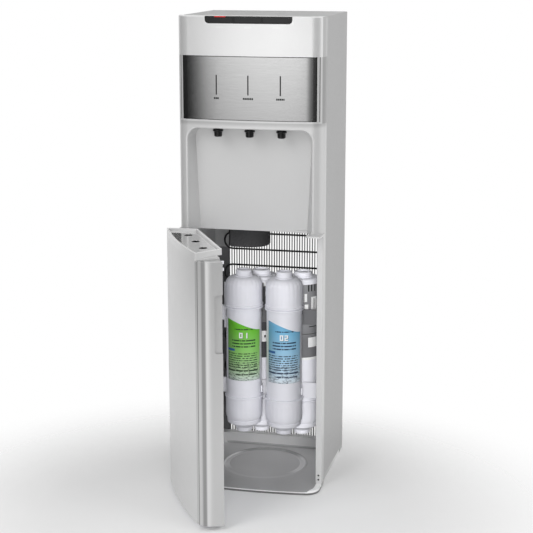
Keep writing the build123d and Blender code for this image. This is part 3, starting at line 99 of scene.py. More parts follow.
# Sockets of a Mix node that mixes colours
MIX_COLOURS = (6, 7)
MIX_RESULT = 2


def linear(value):
    """One sRGB channel as the linear value that a shader takes."""
    return value / 12.92 if value <= 0.04045 else ((value + 0.055) / 1.055) ** 2.4


def rgba(colour):
    return tuple(linear(c) for c in colour) + (1.0,)


def grey(value):
    return (value, value, value)


def place_of(node):
    """A CAD node's lowest and highest corners, in millimetres."""
    low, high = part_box(node)
    return tuple(c / MM for c in low), tuple(c / MM for c in high)


def centre_of(node, axis):
    low, high = place_of(node)
    return (low[axis] + high[axis]) / 2


class Finish:
    """A procedural material in object space, on one Principled shader."""

    def __init__(self, name, colour, roughness, **settings):
        self.material = bpy.data.materials.new(name)
        self.material.use_nodes = True
        self.nodes = self.material.node_tree.nodes
        self.links = self.material.node_tree.links
        self.shader = self.nodes["Principled BSDF"]
        self.shader.inputs["Base Color"].default_value = rgba(colour)
        self.shader.inputs["Roughness"].default_value = roughness
        for key, value in settings.items():
            self.shader.inputs[key.replace("_", " ")].default_value = value
        self.place = self.nodes.new("ShaderNodeTexCoord").outputs["Object"]
        self.colour = rgba(colour)
        self.parts = None

    def add(self, kind, links=(), values=(), **settings):
        """A node with its settings, its input values and the sockets that feed it."""
        node = self.nodes.new("ShaderNode" + kind)
        for key, value in settings.items():
            setattr(node, key, value)
        for key, value in dict(values).items():
            node.inputs[key].default_value = value
        for key, socket in dict(links).items():
            self.links.new(socket, node.inputs[key])
        return node

    def math(self, operation, *values):
        node = self.nodes.new("ShaderNodeMath")
        node.operation = operation
        for slot, value in zip(node.inputs, values):
            if isinstance(value, (int, float)):
                slot.default_value = value
            else:
                self.links.new(value, slot)
        return node.outputs[0]

    def axis(self, index):
        """A coordinate of the point, in millimetres of the row frame."""
        if self.parts is None:
            split = self.add("SeparateXYZ", {"Vector": self.place})
            self.parts = [self.math("MULTIPLY", out, 1 / MM) for out in split.outputs]
        return self.parts[index]

    def noise(self, scale, detail=3.0, stretch=(1, 1, 1)):
        """Noise with about scale features in a metre, drawn out along the axes with a low stretch."""
        source = self.add("Mapping", {"Vector": self.place}, {"Scale": stretch}).outputs[0]
        return self.add("TexNoise", {"Vector": source}, {"Scale": scale, "Detail": detail}).outputs["Fac"]

    def cells(self, scale, output="Distance"):
        """Cells of about scale in a metre, as the distance to each cell's point or as a colour."""
        return self.add("TexVoronoi", {"Vector": self.place}, {"Scale": scale}).outputs[output]

    def remap(self, pattern, low, high, start=0.3, end=0.7, kind="LINEAR"):
        """A pattern between start and end, spread from low to high and held there outside."""
        values = {"From Min": start, "From Max": end, "To Min": low, "To Max": high}
        node = self.add("MapRange", {"Value": pattern}, values, interpolation_type=kind)
        return node.outputs["Result"]

    def inside(self, value, low, high):
        """1 where a value lies between two limits."""
        return self.math("COMPARE", value, (low + high) / 2, (high - low) / 2)

    def both(self, first, second):
        return self.math("MULTIPLY", first, second)

    def rect(self, across, up, wide, high):
        """1 inside a rectangle, given by its limits across and up."""
        return self.both(self.inside(across, *wide), self.inside(up, *high))

    def either(self, masks):
        """The highest of some masks."""
        total = masks[0]
        for mask in masks[1:]:
            total = self.math("MAXIMUM", total, mask)
        return total

    def use(self, colour):
        self.colour = colour
        self.links.new(colour, self.shader.inputs["Base Color"])
        return self

    def vary(self, pattern, low, high, start=0.3, end=0.7, kind="LINEAR"):
        """The colour so far, made darker or lighter by a pattern."""
        node = self.add("VectorMath", {"Scale": self.remap(pattern, low, high, start, end, kind)}, operation="SCALE")
        if isinstance(self.colour, tuple):
            node.inputs[0].default_value = self.colour[:3]
        else:
            self.links.new(self.colour, node.inputs[0])
        return self.use(node.outputs["Vector"])

    def over(self, mask, colour, strength=1.0):
        """Paints a colour over the colour so far where the mask is 1."""
        node = self.add("Mix", data_type="RGBA")
        self.links.new(self.math("MULTIPLY", mask, strength) if strength < 1 else mask, node.inputs[0])
        for slot, value in zip((node.inputs[index] for index in MIX_COLOURS), (self.colour, colour)):
            if isinstance(value, tuple):
                slot.default_value = value if len(value) == 4 else rgba(value)
            else:
                self.links.new(value, slot)
        return self.use(node.outputs[MIX_RESULT])

    def ramp(self, pattern, start, end, stops):
        """A colour ramp over a pattern between two values, from (position, colour) pairs."""
        node = self.add("ValToRGB", {"Fac": self.remap(pattern, 0, 1, start, end)})
        elements = node.color_ramp.elements
        elements[0].position, elements[0].color = stops[0][0], rgba(stops[0][1])
        elements[1].position, elements[1].color = stops[-1][0], rgba(stops[-1][1])
        for position, colour in stops[1:-1]:
            elements.new(position).color = rgba(colour)
        return node.outputs["Color"]

    def gloss(self, pattern, low, high):
        """Roughness that follows a pattern."""
        self.links.new(self.remap(pattern, low, high), self.shader.inputs["Roughness"])
        return self

    def relief(self, pattern, depth, strength=1.0):
        """Bump from a pattern, with its depth in millimetres."""
        node = self.add("Bump", {"Height": pattern}, {"Distance": depth * MM, "Strength": strength})
        self.links.new(node.outputs["Normal"], self.shader.inputs["Normal"])
        return self


# Materials

def silver(name, colour, roughness=0.34, metallic=0.35):
    """Silver moulded plastic: fine metallic flake in a satin coat."""
    paint = Finish(name, colour, roughness, Metallic=metallic, Coat_Weight=0.15, Coat_Roughness=0.25)
    paint.vary(paint.noise(2600, 2), 0.96, 1.03)
    paint.vary(paint.noise(8, 3), 0.985, 1.01)
    paint.gloss(paint.noise(60, 4), roughness, roughness + 0.06)
    return paint.relief(paint.noise(150, 2), 0.01, 0.3)


def painted_sheet(name, colour):
    """Powder-coated sheet with a fine orange peel and slow changes of tone."""
    paint = Finish(name, colour, 0.45, Coat_Weight=0.08, Coat_Roughness=0.3)
    paint.vary(paint.noise(9, 3), 0.98, 1.015)
    paint.vary(paint.noise(1800, 2), 0.97, 1.02)
    paint.gloss(paint.noise(140, 3), 0.4, 0.5)
    return paint.relief(paint.noise(900, 2), 0.02, 0.3)


def brushed_steel(name, colour, roughness, stretch):
    """Stainless steel with fine brush lines drawn out along the axis whose stretch is low."""
    steel = Finish(name, colour, roughness, Metallic=1.0)
    steel.vary(steel.noise(1500, 2, stretch), 0.95, 1.03)
    steel.vary(steel.noise(260, 3, stretch), 0.975, 1.015)
    steel.gloss(steel.noise(900, 2, stretch), roughness - 0.04, roughness + 0.05)
    return steel.relief(steel.noise(1200, 2, stretch), 0.006, 0.25)


def moulded(name, colour, roughness, depth=0.02, **settings):
    """Plain moulded plastic with a fine spark-eroded grain."""
    plastic = Finish(name, colour, roughness, **settings)
    plastic.vary(plastic.noise(35, 4), 0.97, 1.01)
    plastic.gloss(plastic.noise(220, 3), roughness - 0.01, roughness + 0.06)
    return plastic.relief(plastic.noise(900, 2), depth, 0.3)


def galvanised(name, colour):
    """Zinc-coated sheet with spangle."""
    zinc = Finish(name, colour, 0.4, Metallic=0.85)
    zinc.vary(zinc.cells(160, "Color"), 0.8, 1.08, 0.1, 0.9)
    zinc.gloss(zinc.cells(160), 0.34, 0.5)
    return zinc.relief(zinc.noise(700, 3), 0.02, 0.3)


def foam(name, colour):
    """Dark closed-cell foam."""
    block = Finish(name, colour, 0.9)
    pores = block.cells(420)
    block.vary(pores, 0.7, 1.1, 0.1, 0.6)
    return block.relief(pores, 0.4, 0.6)


def rubber(name, colour):
    """Dull rubber with a coarse grain."""
    pad = Finish(name, colour, 0.75)
    pad.vary(pad.noise(300, 4), 0.85, 1.15)
    return pad.relief(pad.noise(600, 3), 0.1, 0.5)


def circuit_board(name):
    """Green solder mask over copper runs, with light pads."""
    board = Finish(name, (0.05, 0.32, 0.16), 0.35, Coat_Weight=0.4)
    runs = board.add("TexBrick", {"Vector": board.place}, {"Scale": 60.0, "Mortar Size": 0.06}).outputs["Fac"]
    board.over(runs, (0.16, 0.47, 0.22))
    return board.relief(runs, 0.05, 0.5)


def dress(finish, *names):
    """Gives CAD nodes their finish."""
    for name in names:
        for slot in frame["nodes"][name].material_slots:
            slot.material = finish.material


# Places and sizes, in millimetres, and angles in radians

# The door's hinge and how far it stands open, and its free edge when shut
HINGE = (-151.3, -122.5)
DOOR_ANGLE = math.radians(61)
STILE_FACE = 143.5
STILE_LINE = (144.2, 146.2)
STILE_DEPTH = (-156, -128)
# Painted reflection across the free edge's face, as grey tones along its depth.
STILE_PAINTED_REFLECTION = [(0.0, grey(0.78)), (0.16, grey(0.74)), (0.26, grey(0.55)), (0.42, grey(0.55)), (0.52, grey(0.80)),
               (0.66, grey(0.80)), (0.85, grey(0.75)), (1.0, grey(0.74))]

# The head's sides and the steel panel between them, and the spans of painted shade on their far sides and at the
# panel's ends
SIDE_PAINTED_SHADE = (155.5, 157.5)
FASCIA_JOINT = (151.4, 153.0)
FASCIA_EDGE = 1.3
FASCIA_PAINTED_SHADE = [(122, 136, 0.7), (-118, -136, 0.45)]
TICK_WIDTHS = (12, 22, 18)
TICK_PITCH = 3.8
TICK_DROP = (9.5, 5.5)

# The basin: its ring with painted highlights on its arcs and painted shadow behind it, the rear wall with painted
# shade at its foot, a painted bright strip before the wall, and the lip in front of the side panels with a painted
# highlight on its edge and painted shade on its skirt
RING_CENTRE = (4.0, 8.0)
RING_RADIUS = 95.5
RING_EDGE = 5
RING_HIGHLIGHT_ARCS = (82, 95)
RING_SHADE = (89, 100)
BASIN_WALL = 129
WALL_FOOT_SHADE = ((126, 140), (0, 8))
BASIN_HIGHLIGHT_STRIP = (98, 125)
LIP_REACH = 26
LIP_HIGHLIGHT = (4.4, 12)
LIP_SKIRT_SHADE = (-1, 3.8)

# The filter bracket: the foot of its upper plate, painted grey as shade, and the side of its white post
PLATE_FOOT = 300
POST_SIDE = -83

# Places that follow from the CAD nodes
TAPS = ("hot", "room", "cold")
HEAD_TOP = place_of("head_cover")[1][2]
PANEL_FRONT = place_of("side_panel_left")[0][1]
BUTTON_CENTRES = [centre_of("button_" + tap, 0) for tap in TAPS]
BUTTON_JOINTS = [(a + b) / 2 for a, b in zip(BUTTON_CENTRES, BUTTON_CENTRES[1:])]
SLIT_CENTRES = [centre_of("nozzle_" + tap, 0) for tap in TAPS]
FRONT_FILTER_X = [centre_of(f"filter_front_{number}", 0) for number in (1, 2)]
FRONT_FILTER_Y = centre_of("filter_front_1", 1)
REAR_FILTER_X = [centre_of(f"filter_rear_{number}", 0) for number in (1, 2)]
REAR_FILTER_Y = centre_of("filter_rear_1", 1)

# The cartridges' turned forms, and the film round the front ones
CARTRIDGE_FOOT = {"front": 93.0, "rear": 66.0}
CARTRIDGE_LENGTH = {"front": 380.0, "rear": 389.0}
BODY_RADIUS = 40.0
CAP_RADIUS = 42.0
RIM_RADIUS = 44.0
NECK_RADIUS = 18.6
PORT_RADIUS = {"front": 18.0, "rear": 20.5}
PORT_HEIGHT = {"front": 15.0, "rear": 12.0}
DOME_RADIUS = {"front": 19.0, "rear": 6.0}
LOWER_RIM = 85.0
UPPER_RIM = 301.0
TURN_STEPS = 144
SHARP_ANGLE = math.radians(30)
FLUTE_STEPS = 6
FLUTE_DEPTH = 0.7
CAP_FLUTE_DEPTH = 0.22
FILM_TURN = (-48.0, 76.0)
FILM_FOOT = 128.5
FILM_HEIGHT = 142.5
FILM_WAVE = 26.0
FILM_STANDOFF = 0.35
FILM_THICKNESS = 0.25
FILM_GRID = (60, 24)


# Head, front and door

def painted_side_shade(finish):
    """Painted shade: the far side of a head piece is darkened towards the side panels' grey, as where it turns away
    from the light.
    """
    aside = finish.math("ABSOLUTE", finish.axis(0))
    return finish.vary(aside, 1.0, 0.55, *SIDE_PAINTED_SHADE, "SMOOTHSTEP")


def head_frame():
    """The head's frame, with a thin dark joint beside the steel panel and painted shade on its far sides."""
    frame_paint = silver("head_paint", HEAD_SILVER)
    aside = frame_paint.math("ABSOLUTE", frame_paint.axis(0))
    (_, _, foot), (_, _, top) = place_of("steel_fascia")
    joint = frame_paint.rect(aside, frame_paint.axis(2), FASCIA_JOINT, (foot, top))
    frame_paint.over(joint, grey(0.4))
    # Painted shade on the frame's far sides.
    return painted_side_shade(frame_paint)


def head_cover():
    """The cover, with a painted highlight as a light rim round the button bar, three pale marks below it, and painted
    shade on its far sides.
    """
    cover = silver("cover_paint", COVER_SILVER, 0.3, 0.55)
    (bar_low, _, bar_foot), (bar_high, _, _) = place_of("button_bezel")
    # Painted highlight: a light rim round the button bar.
    rim = cover.rect(cover.axis(0), cover.axis(2), (bar_low - 3, bar_high + 3), (bar_foot - 2.5, HEAD_TOP))
    cover.over(rim, PRINT_AND_HIGHLIGHT_WHITE)
    marks = [cover.rect(cover.axis(0), cover.axis(2), (x - 8, x + 8), (bar_foot - 10, bar_foot - 6))
             for x in BUTTON_CENTRES]
    cover.over(cover.either(marks), PRINT_AND_HIGHLIGHT_WHITE, 0.6)
    # Painted shade on the cover's far sides.
    return painted_side_shade(cover)


def front_frame():
    """The alcove's surround, with painted shade making it greyer under the fascia."""
    frame_paint = silver("front_paint", SILVER)
    top = place_of("front_frame")[1][2]
    # Painted shade: greyer just under the fascia.
    return frame_paint.vary(frame_paint.axis(2), 0.74, 1.0, top - 2, top - 11, "SMOOTHSTEP")


def steel_fascia():
    """Brushed steel with painted shade, darker towards its foot and ends, with three rows of small ticks under the
    slits.
    """
    steel = brushed_steel("fascia_steel", STEEL, 0.13, (0.012, 1.0, 1.0))
    across, up = steel.axis(0), steel.axis(2)
    (_, _, foot), (half_width, _, top) = place_of("steel_fascia")
    # Painted shade: darker towards the foot.
    steel.vary(up, 0.72, 1.0, foot, top)
    slit_foot = place_of("light_pipes")[0][2]
    rows = [steel.rect(across, up, (x - wide / 2, x + wide / 2), (slit_foot - TICK_DROP[0], slit_foot - TICK_DROP[1]))
            for x, wide in zip(SLIT_CENTRES, TICK_WIDTHS)]
    comb = steel.inside(steel.math("PINGPONG", across, TICK_PITCH / 2), 0.4, 2.0)
    steel.over(steel.both(steel.either(rows), comb), INK_AND_SHADE)
    edges = [steel.inside(up, z - FASCIA_EDGE, z + FASCIA_EDGE) for z in (foot, top)]
    edges.append(steel.math("GREATER_THAN", steel.math("ABSOLUTE", across), half_width - FASCIA_EDGE))
    steel.over(steel.either(edges), grey(0.3))
    # Painted shade towards both ends.
    for start, end, strength in FASCIA_PAINTED_SHADE:
        shade = steel.remap(across, 0.0, 1.0, start, end, "SMOOTHSTEP")
        steel.over(steel.both(shade, steel.inside(across, *sorted((start, end)))), INK_AND_SHADE, strength)
    return steel


def button_black():
    """Black keys with a deeper black joint between them."""
    keys = moulded("button_black", (0.11, 0.11, 0.115), 0.3)
    joints = [keys.inside(keys.axis(0), x - 2.6, x + 2.6) for x in BUTTON_JOINTS]
    return keys.over(keys.either(joints), grey(0.02))


def base_tray():
    """The base: a grey basin with a ring and a rear wall, with painted light and shade: lighter towards the back,
    darker towards the front, painted highlights and shadow on the ring, painted shade on the rear wall and at its
    foot, a painted bright strip before the wall, a painted highlight as a pale edge on the front lip and painted shade
    as a dark face under it.
    """
    base = silver("base_paint", BASE_SILVER, 0.36, 0.15)
    across, deep, up = (base.axis(index) for index in range(3))
    # Painted light: lighter towards the rear wall.
    base.vary(deep, 0.97, 1.55, -60, 128, "SMOOTHSTEP")
    # Painted shade: darker towards the front.
    base.vary(deep, 0.72, 1.0, -120, -30, "SMOOTHSTEP")
    aside = base.math("SUBTRACT", across, RING_CENTRE[0])
    beyond = base.math("SUBTRACT", deep, RING_CENTRE[1])
    ring = base.math("SQRT", base.math("ADD", base.math("POWER", aside, 2), base.math("POWER", beyond, 2)))
    # Painted highlight: a faint light band along the ring.
    base.over(base.inside(ring, RING_RADIUS - RING_EDGE, RING_RADIUS + RING_EDGE), PRINT_AND_HIGHLIGHT_WHITE, 0.15)
    # Painted highlights on the ring's left and right arcs.
    sides = base.remap(base.math("ABSOLUTE", aside), 0, 1, 45, 82, "SMOOTHSTEP")
    arcs = base.both(sides, base.remap(deep, 0, 1, -50, -20))
    base.over(base.both(arcs, base.inside(ring, *RING_HIGHLIGHT_ARCS)), PRINT_AND_HIGHLIGHT_WHITE)
    # Painted shadow behind the ring.
    base.over(base.both(base.remap(deep, 0, 1, 55, 80), base.inside(ring, *RING_SHADE)), INK_AND_SHADE, 0.5)
    # Painted shade on the rear wall, darker towards the right.
    wall = base.math("GREATER_THAN", deep, BASIN_WALL)
    base.over(base.both(wall, base.remap(across, 0, 1, 0, 120)), INK_AND_SHADE, 0.4)
    # Painted shade in the corner at the wall's foot.
    base.over(base.rect(deep, up, *WALL_FOOT_SHADE), INK_AND_SHADE, 0.35)
    # Painted highlight: a bright strip in front of the wall, fading towards the right.
    base.over(base.both(base.inside(deep, *BASIN_HIGHLIGHT_STRIP), base.remap(across, 1, 0, -60, 30)), PRINT_AND_HIGHLIGHT_WHITE, 0.22)
    front = base.math("LESS_THAN", deep, PANEL_FRONT - LIP_REACH)
    # Painted highlight: the pale edge of the front lip.
    base.over(base.both(front, base.inside(up, *LIP_HIGHLIGHT)), PRINT_AND_HIGHLIGHT_WHITE)
    # Painted shade: the dark face under the lip.
    return base.over(base.both(front, base.inside(up, *LIP_SKIRT_SHADE)), grey(0.42))


def door_shut(finish):
    """The point's two level coordinates with the door swung shut about its hinge, in millimetres."""
    across = finish.math("SUBTRACT", finish.axis(0), HINGE[0])
    deep = finish.math("SUBTRACT", finish.axis(1), HINGE[1])
    turned = []
    for first, second, sign, start in ((across, deep, -1, HINGE[0]), (deep, across, 1, HINGE[1])):
        kept = finish.math("MULTIPLY", first, math.cos(DOOR_ANGLE))
        moved = finish.math("MULTIPLY", second, sign * math.sin(DOOR_ANGLE))
        turned.append(finish.math("ADD", finish.math("ADD", kept, moved), start))
    return turned


def handle_stile():
    """The door's free edge with a painted reflection across its face: a dark band, then a bright band, then a plain
    grey face.
    """
    stile = silver("stile_paint", STILE_SILVER, 0.3, 0.35)
    across, deep = door_shut(stile)
    face = stile.math("GREATER_THAN", across, STILE_FACE)
    # Painted reflection: dark and bright bands across the face.
    stile.over(face, stile.ramp(deep, *STILE_DEPTH, STILE_PAINTED_REFLECTION))
    return stile.over(stile.inside(across, *STILE_LINE), grey(0.48))


def tray_shelf():
    """The door's raised shelf, with a painted highlight as a pale rim along its top."""
    shelf = silver("shelf_paint", DOOR_SILVER, 0.3, 0.3)
    top = place_of("tray_shelf")[1][2]
    # Painted highlight along the top edge.
    return shelf.over(shelf.inside(shelf.axis(2), top - 0.6, top + 1), PRINT_AND_HIGHLIGHT_WHITE)


def drip_plate():
    """Bright brushed plate, with painted shade: all below its top face, the wells too, is near black."""
    plate = brushed_steel("plate_steel", grey(0.95), 0.12, (0.02, 1.0, 1.0))
    plate.shader.inputs["Metallic"].default_value = 0.9
    top = place_of("drip_plate")[1][2]
    # Painted shade in the wells and below the top face.
    return plate.over(plate.inside(plate.axis(2), top - 20, top - 0.3), grey(0.02))


def filter_bracket():
    """White lower cradles and post, and an upper plate painted grey as shade."""
    plate = moulded("bracket_white", (0.9, 0.9, 0.92), 0.45)
    upper = plate.math("GREATER_THAN", plate.axis(2), PLATE_FOOT)
    beside_post = plate.math("GREATER_THAN", plate.axis(0), POST_SIDE)
    # Painted shade: the upper plate beside the post is grey.
    return plate.over(plate.both(upper, beside_post), (0.45, 0.45, 0.46))


# Printed labels: an arc length round the cartridge and a height, both in millimetres

LABEL_RADIUS = 40.5
FIGURE_WIDTH = 8.2
FIGURE_HEIGHT = 13.0
FIGURE_BAR = 2.7
FIGURE_LEFT = -1.0
FIGURE_FOOT = 100
FIGURE_SHADOW = 1.1
DASH = 1.3
PRINT_BLOCKS = [  # limits across, limits up, pitch of the rows, share that is inked
    ((-12, 31), (119, 122), 6.0, 0.8),
    ((-19, 38), (78.5, 97.5), 7.1, 0.82),
    ((-33, 44), (30.5, 66), 5.3, 0.72),
    ((-33, 46), (22, 26), 8.0, 0.9),
    ((-12, 42), (13, 16), 8.0, 0.85),
]
SEGMENTS = {"0": "abcdef", "1": "bc", "2": "abged"}
LABEL_PAINTS = {
    1: [(0.0, (0.80, 0.85, 0.82)), (0.2, (0.68, 0.80, 0.62)), (0.5, (0.55, 0.78, 0.42)), (1.0, (0.40, 0.74, 0.14))],
    2: [(0.0, (0.88, 0.92, 0.95)), (0.2, (0.76, 0.86, 0.92)), (0.5, (0.62, 0.79, 0.89)), (1.0, (0.46, 0.72, 0.86))],
}
LABEL_DARK = {1: (0.05, 0.20, 0.07), 2: (0.06, 0.16, 0.30)}


def around(finish, axis_x, axis_y, radius):
    """Arc length from the side that faces the front, towards +X."""
    turn = finish.math("ARCTAN2", finish.math("SUBTRACT", finish.axis(0), axis_x),
                       finish.math("SUBTRACT", axis_y, finish.axis(1)))
    return finish.math("MULTIPLY", turn, radius)


def figure(finish, across, up, text, left, foot):
    """Plain numerals made of seven bars each, as one mask."""
    wide, tall, bar = FIGURE_WIDTH, FIGURE_HEIGHT, FIGURE_BAR
    masks = []
    for index, numeral in enumerate(text):
        x = left + index * (wide + bar)
        top, middle = foot + tall, foot + tall / 2
        bars = {
            "a": ((x, x + wide), (top - bar, top)), "g": ((x, x + wide), (middle - bar / 2, middle + bar / 2)),
            "d": ((x, x + wide), (foot, foot + bar)), "b": ((x + wide - bar, x + wide), (middle, top)),
            "c": ((x + wide - bar, x + wide), (foot, middle)), "f": ((x, x + bar), (middle, top)),
            "e": ((x, x + bar), (foot, middle)),
        }
        masks += [finish.rect(across, up, *bars[name]) for name in SEGMENTS[numeral]]
    return finish.either(masks)


def print_rows(finish, across, up, wide, high, pitch, fill):
    """Rows of broken dashes that stand for small print, without any letters."""
    rise = finish.math("DIVIDE", finish.math("SUBTRACT", up, high[0]), pitch)
    row, line = finish.math("FRACT", rise), finish.math("FLOOR", rise)
    cell = finish.math("FLOOR", finish.math("DIVIDE", across, DASH))
    seed = finish.math("ADD", cell, finish.math("MULTIPLY", line, 37.0))
    chance = finish.add("TexWhiteNoise", {"W": seed}, noise_dimensions="1D").outputs["Value"]
    inked = finish.both(finish.math("LESS_THAN", row, 0.45), finish.math("LESS_THAN", chance, fill))
    return finish.both(inked, finish.rect(across, up, wide, high))


def front_label(number, axis_x):
    """A coloured film with foam along its foot, rows of dashes and a plain number over its own printed shadow, and
    painted shade darkening its left side.
    """
    label = Finish(f"label_film_{number}", LABEL_PAINTS[number][-1][1], 0.34, Coat_Weight=0.2)
    across = around(label, axis_x, FRONT_FILTER_Y, LABEL_RADIUS)
    up = label.math("SUBTRACT", label.axis(2), CARTRIDGE_FOOT["front"] + FILM_FOOT)
    label.use(label.ramp(up, 0.5, 123.5, LABEL_PAINTS[number]))
    # Painted shade towards the left side, and painted sheen to the right of the middle.
    label.vary(across, 0.72, 1.1, -40, 8, "SMOOTHSTEP")
    ripple = label.noise(70, 4, (1, 1, 3))
    label.over(label.rect(ripple, up, (0.45, 0.52), (-1, 40)), LABEL_DARK[number], 0.6)
    dark = [print_rows(label, across, up, *block) for block in PRINT_BLOCKS]
    label.over(label.either(dark), LABEL_DARK[number], 0.95)
    shadow = figure(label, across, up, f"0{number}", FIGURE_LEFT + FIGURE_SHADOW, FIGURE_FOOT - FIGURE_SHADOW)
    label.over(shadow, LABEL_DARK[number], 0.7)
    label.over(figure(label, across, up, f"0{number}", FIGURE_LEFT, FIGURE_FOOT), PRINT_AND_HIGHLIGHT_WHITE)
    label.over(label.rect(across, up, (-36, -12), (69, 74.5)), (0.16, 0.36, 0.60))
    label.gloss(label.noise(90, 3), 0.3, 0.4)
    return label.relief(label.noise(600, 2), 0.01, 0.3)


def rear_labels():
    """Grey films on the rear cartridges, with plain white and dark fields, darker below 330 mm, and the left film
    painted dark as shade.
    """
    label = Finish("label_film_rear", (0.56, 0.56, 0.57), 0.4)
    right = label.math("GREATER_THAN", label.axis(0), sum(REAR_FILTER_X) / 2)
    axis_x = label.remap(right, REAR_FILTER_X[0], REAR_FILTER_X[1], 0, 1)
    across = around(label, axis_x, REAR_FILTER_Y, LABEL_RADIUS)
    up = label.axis(2)
    # Darker towards the foot, below 330 mm.
    label.vary(up, 0.72, 1.0, 300, 330)
    left = label.math("SUBTRACT", 1.0, right)
    # Painted shade: the left film is dark all over.
    label.over(left, (0.30, 0.30, 0.31))

    def fields(side, colour, places):
        mask = label.either([label.rect(across, up, wide, high) for wide, high in places])
        label.over(label.both(mask, side), colour)

    fields(left, PRINT_AND_HIGHLIGHT_WHITE, [((15, 23), (423, 431)), ((19, 26), (399, 410)), ((10, 26), (291, 317))])
    fields(left, INK_AND_SHADE, [((16, 20), (301, 307))])
    fields(right, (0.62, 0.62, 0.63), [((-60, 60), (342, 371))])
    fields(right, PRINT_AND_HIGHLIGHT_WHITE, [((13, 22), (372, 385)), ((13, 19), (391, 410)), ((29, 45), (369, 402)),
                                ((22, 46), (283, 306)), ((-60, 60), (250, 259))])
    fields(right, INK_AND_SHADE, [((21, 24), (415, 434)), ((28.5, 31.5), (415, 434)), ((37.5, 40.5), (415, 434)),
                        ((36, 38), (374, 398)), ((24, 45), (331, 333)), ((24, 45), (342, 344)),
                        ((-60, 60), (314, 315.2))])
    label.vary(label.noise(300, 3), 0.97, 1.02)
    return label.relief(label.noise(600, 2), 0.01, 0.3)


dress(head_cover(), "head_cover")
dress(front_frame(), "front_frame")
dress(silver("rail_paint", SILVER), "front_rail_left", "front_rail_right")
dress(silver("alcove_paint", LINER_SILVER, 0.4, 0.2), "alcove_liner")
dress(head_frame(), "head_frame")
dress(silver("door_paint", DOOR_SILVER), "door_skin", "door_hinge_stile")
dress(handle_stile(), "door_handle_stile")
dress(tray_shelf(), "tray_shelf")
dress(base_tray(), "base_tray")
dress(steel_fascia(), "steel_fascia")
dress(drip_plate(), "drip_plate")
dress(painted_sheet("panel_paint", PANEL_GREY), "side_panel_left", "side_panel_right", "top_panel")
dress(moulded("slit_lens", (0.05, 0.05, 0.055), 0.3, Coat_Weight=0.2), "light_pipes")
dress(moulded("bar_gloss", BLACK, 0.16, 0.005, Coat_Weight=0.4), "button_bezel")
dress(button_black(), "button_hot", "button_room", "button_cold")
dress(moulded("lock_red", (0.86, 0.10, 0.09), 0.35), "child_lock")
dress(moulded("nozzle_black", BLACK, 0.3), "nozzle_hot", "nozzle_room", "nozzle_cold")
dress(rear_labels(), "labels_rear")
dress(moulded("inner_white", WHITE_PLASTIC, 0.45), "door_liner")
dress(filter_bracket(), "filter_bracket")
dress(moulded("cup_black", grey(0.05), 0.5), "drip_cup")
dress(moulded("catch_white", WHITE_PLASTIC, 0.4), "door_catch")
dress(moulded("wire_black", CHARCOAL, 0.45), "condenser_wires", "condenser_tube")
dress(moulded("upright_black", (0.5, 0.5, 0.505), 0.6), "condenser_straps")
dress(galvanised("shelf_zinc", ZINC), "inner_shelves", "rear_panel")
dress(foam("tank_foam", FOAM_GREY), "cold_tank_foam", "cold_tank_lid")
dress(brushed_steel("tank_steel", STEEL, 0.3, (1.0, 1.0, 0.02)), "hot_tank", "cold_tank")
dress(brushed_steel("band_steel", (0.6, 0.58, 0.55), 0.4, (1.0, 1.0, 4.0)), "heater_band")
dress(moulded("compressor_black", BLACK, 0.4), "compressor")
dress(circuit_board("board_green"), "control_board")
dress(moulded("switch_black", BLACK, 0.35), "button_switches", "rocker_cases", "power_inlet")
dress(moulded("valve_white", (0.86, 0.86, 0.84), 0.4), "valves")
dress(moulded("rocker_red", (0.62, 0.06, 0.05), 0.35), "rocker_hot")
dress(moulded("rocker_green", (0.05, 0.38, 0.15), 0.35), "rocker_cold")
dress(brushed_steel("pin_steel", grey(0.7), 0.3, (1.0, 1.0, 4.0)), "hinge_pins", "rear_screws")
dress(brushed_steel("screw_black", grey(0.1), 0.35, (1.0, 1.0, 1.0)), "rail_screws")
dress(moulded("fitting_white", grey(0.85), 0.4), "water_inlet")
dress(moulded("plug_grey", (0.35, 0.36, 0.38), 0.5), "drain_plug")
dress(rubber("pad_rubber", grey(0.12)), "feet")


# Cartridges: fluted housings and printed films in place of the plain solids.
# Profiles are (radius, height above the foot) in millimetres.

def link_mesh(name, points, faces, material):
    """A piece from points in millimetres, smooth but for its edges sharper than SHARP_ANGLE."""
    mesh = bpy.data.meshes.new(name)
    mesh.from_pydata([[c * MM for c in p] for p in points], [], faces)
    mesh.polygons.foreach_set("use_smooth", [True] * len(mesh.polygons))
    mesh.set_sharp_from_angle(angle=SHARP_ANGLE)
    mesh.materials.append(material)
    piece = bpy.data.objects.new(name, mesh)
    bpy.context.scene.collection.objects.link(piece)
    return piece


def stand_for(piece, node):
    """The piece takes the node's place, and rides on its body."""
    original = frame["nodes"][node]
    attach(piece, body_of(original)[0])
    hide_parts(node)


def arc_points(centre, radius, start, end, steps):
    """Points along an arc between two angles in degrees."""
    turns = [math.radians(start + (end - start) * i / steps) for i in range(steps + 1)]
    return [(centre[0] + radius * math.cos(t), centre[1] + radius * math.sin(t)) for t in turns]


def bead(height, below, above):
    """A collar round the housing with a square lower edge and a rounded upper one."""
    edge = arc_points((RIM_RADIUS - 1.2, height + 0.6), 1.2, 0, 80, 4)
    return [(below, height - 2.2), (RIM_RADIUS - 0.6, height - 2.0), (RIM_RADIUS, height - 1.4), *edge,
            (above, height + 2.6)]


